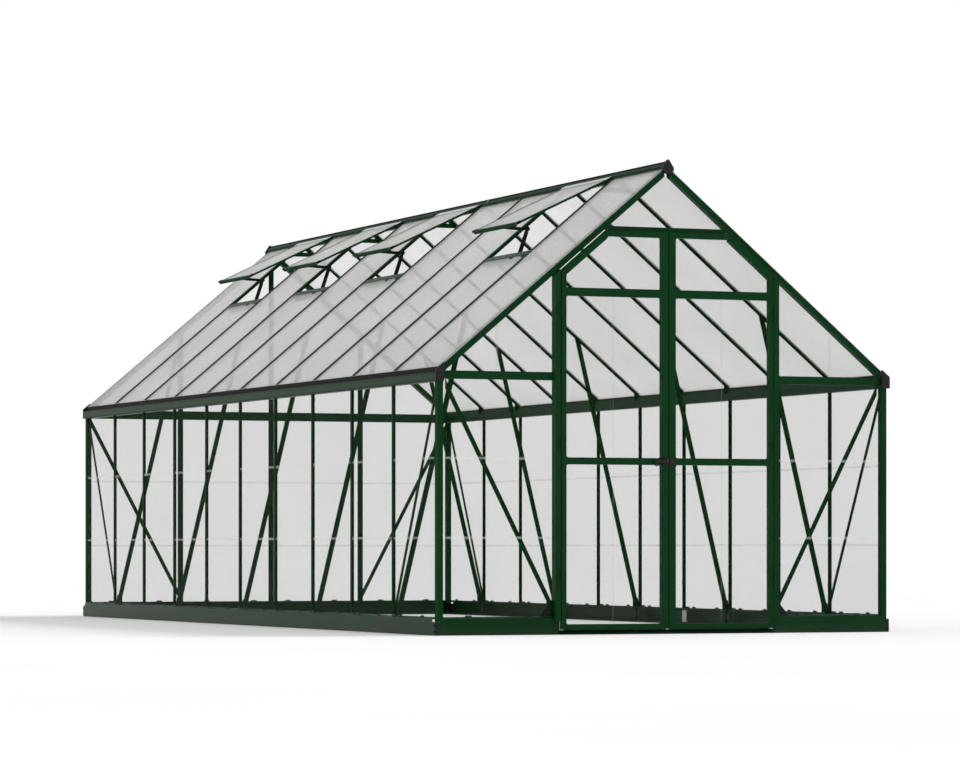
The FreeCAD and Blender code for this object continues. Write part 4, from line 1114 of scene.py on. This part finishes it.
spindle_place = (-0.020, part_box("latch_lever")[0].y, 0.843)
spindle_cap_profile = [(0.0088, 0), (0.0088, 0.0014), (0.0070, 0.0032), (0.0036, 0.0042), (0.0010, 0.0044)]
spindle_cap_steps = 20
spindle_cap = bmesh.new()
add_turned(spindle_cap, spindle_cap_profile, spindle_place, (0, -1, 0), spindle_cap_steps)
new_piece("latch_spindle_cap", "latch", black_plastic, spindle_cap)

case_low, case_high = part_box("latch_case")
case_screw = 0.0026
case_screw_side = 0.006
case_screw_end = 0.005
case_screws = bmesh.new()
for z in (case_low.z + case_screw_end, case_high.z - case_screw_end):
    add_screw(case_screws, (case_low.x + case_screw_side, case_low.y, z), (0, -1, 0), case_screw)
new_piece("latch_case_screws", "left_door", black_metal, case_screws)


# Studio: a plain pale floor, soft light from all round and a broad soft sun from the right.
# The camera stands low off the front left corner, far away, with the picture plane kept upright.
floor_finish = new_finish("pale_studio_floor", shine=0.0, patch=3.0,
                          colours=((0.90, 0.90, 0.90), (0.92, 0.92, 0.92)),
                          grain=0.02, depth=0.00005, gloss=(0.8, 0.95))
floor_half = 140.0
floor_level = -0.0005
floor_sheet = bmesh.new()
floor_corners = [(-floor_half, -floor_half), (floor_half, -floor_half), (floor_half, floor_half),
                 (-floor_half, floor_half)]
floor_sheet.faces.new([floor_sheet.verts.new((x, y, floor_level)) for x, y in floor_corners])
floor_mesh = bpy.data.meshes.new("studio_floor")
floor_sheet.to_mesh(floor_mesh)
floor_sheet.free()
floor_mesh.materials.append(floor_finish)
studio_floor = bpy.data.objects.new("studio_floor", floor_mesh)
scene = bpy.context.scene
scene.collection.objects.link(studio_floor)

white = (1.0, 1.0, 1.0, 1.0)
sky = bpy.data.worlds.new("studio_sky")
sky.use_nodes = True
scene.world = sky
sky_tree = sky.node_tree
sky_light = sky_tree.nodes["Background"]
sky_light.inputs["Color"].default_value = white
sky_light.inputs["Strength"].default_value = 0.75
backdrop = sky_tree.nodes.new("ShaderNodeBackground")
backdrop.inputs["Color"].default_value = white
backdrop.inputs["Strength"].default_value = 1.0
seen = sky_tree.nodes.new("ShaderNodeLightPath")
either = sky_tree.nodes.new("ShaderNodeMixShader")
sky_tree.links.new(seen.outputs["Is Camera Ray"], either.inputs["Fac"])
sky_tree.links.new(sky_light.outputs["Background"], either.inputs[1])
sky_tree.links.new(backdrop.outputs["Background"], either.inputs[2])
sky_tree.links.new(either.outputs["Shader"], sky_tree.nodes["World Output"].inputs["Surface"])

sun_lamp = bpy.data.lights.new("studio_sun", "SUN")
sun_lamp.energy = 1.52
sun_lamp.angle = math.radians(24)
sun = bpy.data.objects.new("studio_sun", sun_lamp)
sun.rotation_euler = Vector((-1.0, 0.10, -1.05)).to_track_quat("-Z", "Y").to_euler()
scene.collection.objects.link(sun)

scene.view_settings.view_transform = "Standard"

# Light crosses many sheets, one behind the other, on its way through the greenhouse.
scene.cycles.transparent_max_bounces = 64

lens = bpy.data.cameras.new("front_left_camera")
lens.sensor_width = 36.0
lens.lens = 151.5
lens.shift_x = -0.0007
lens.shift_y = 0.1717
lens.clip_end = 400.0
camera = bpy.data.objects.new("front_left_camera", lens)
camera.location = (-8.185, -21.078, 0.416)
camera.rotation_euler = (math.radians(90), 0, math.radians(-21.74))
scene.collection.objects.link(camera)
scene.camera = camera
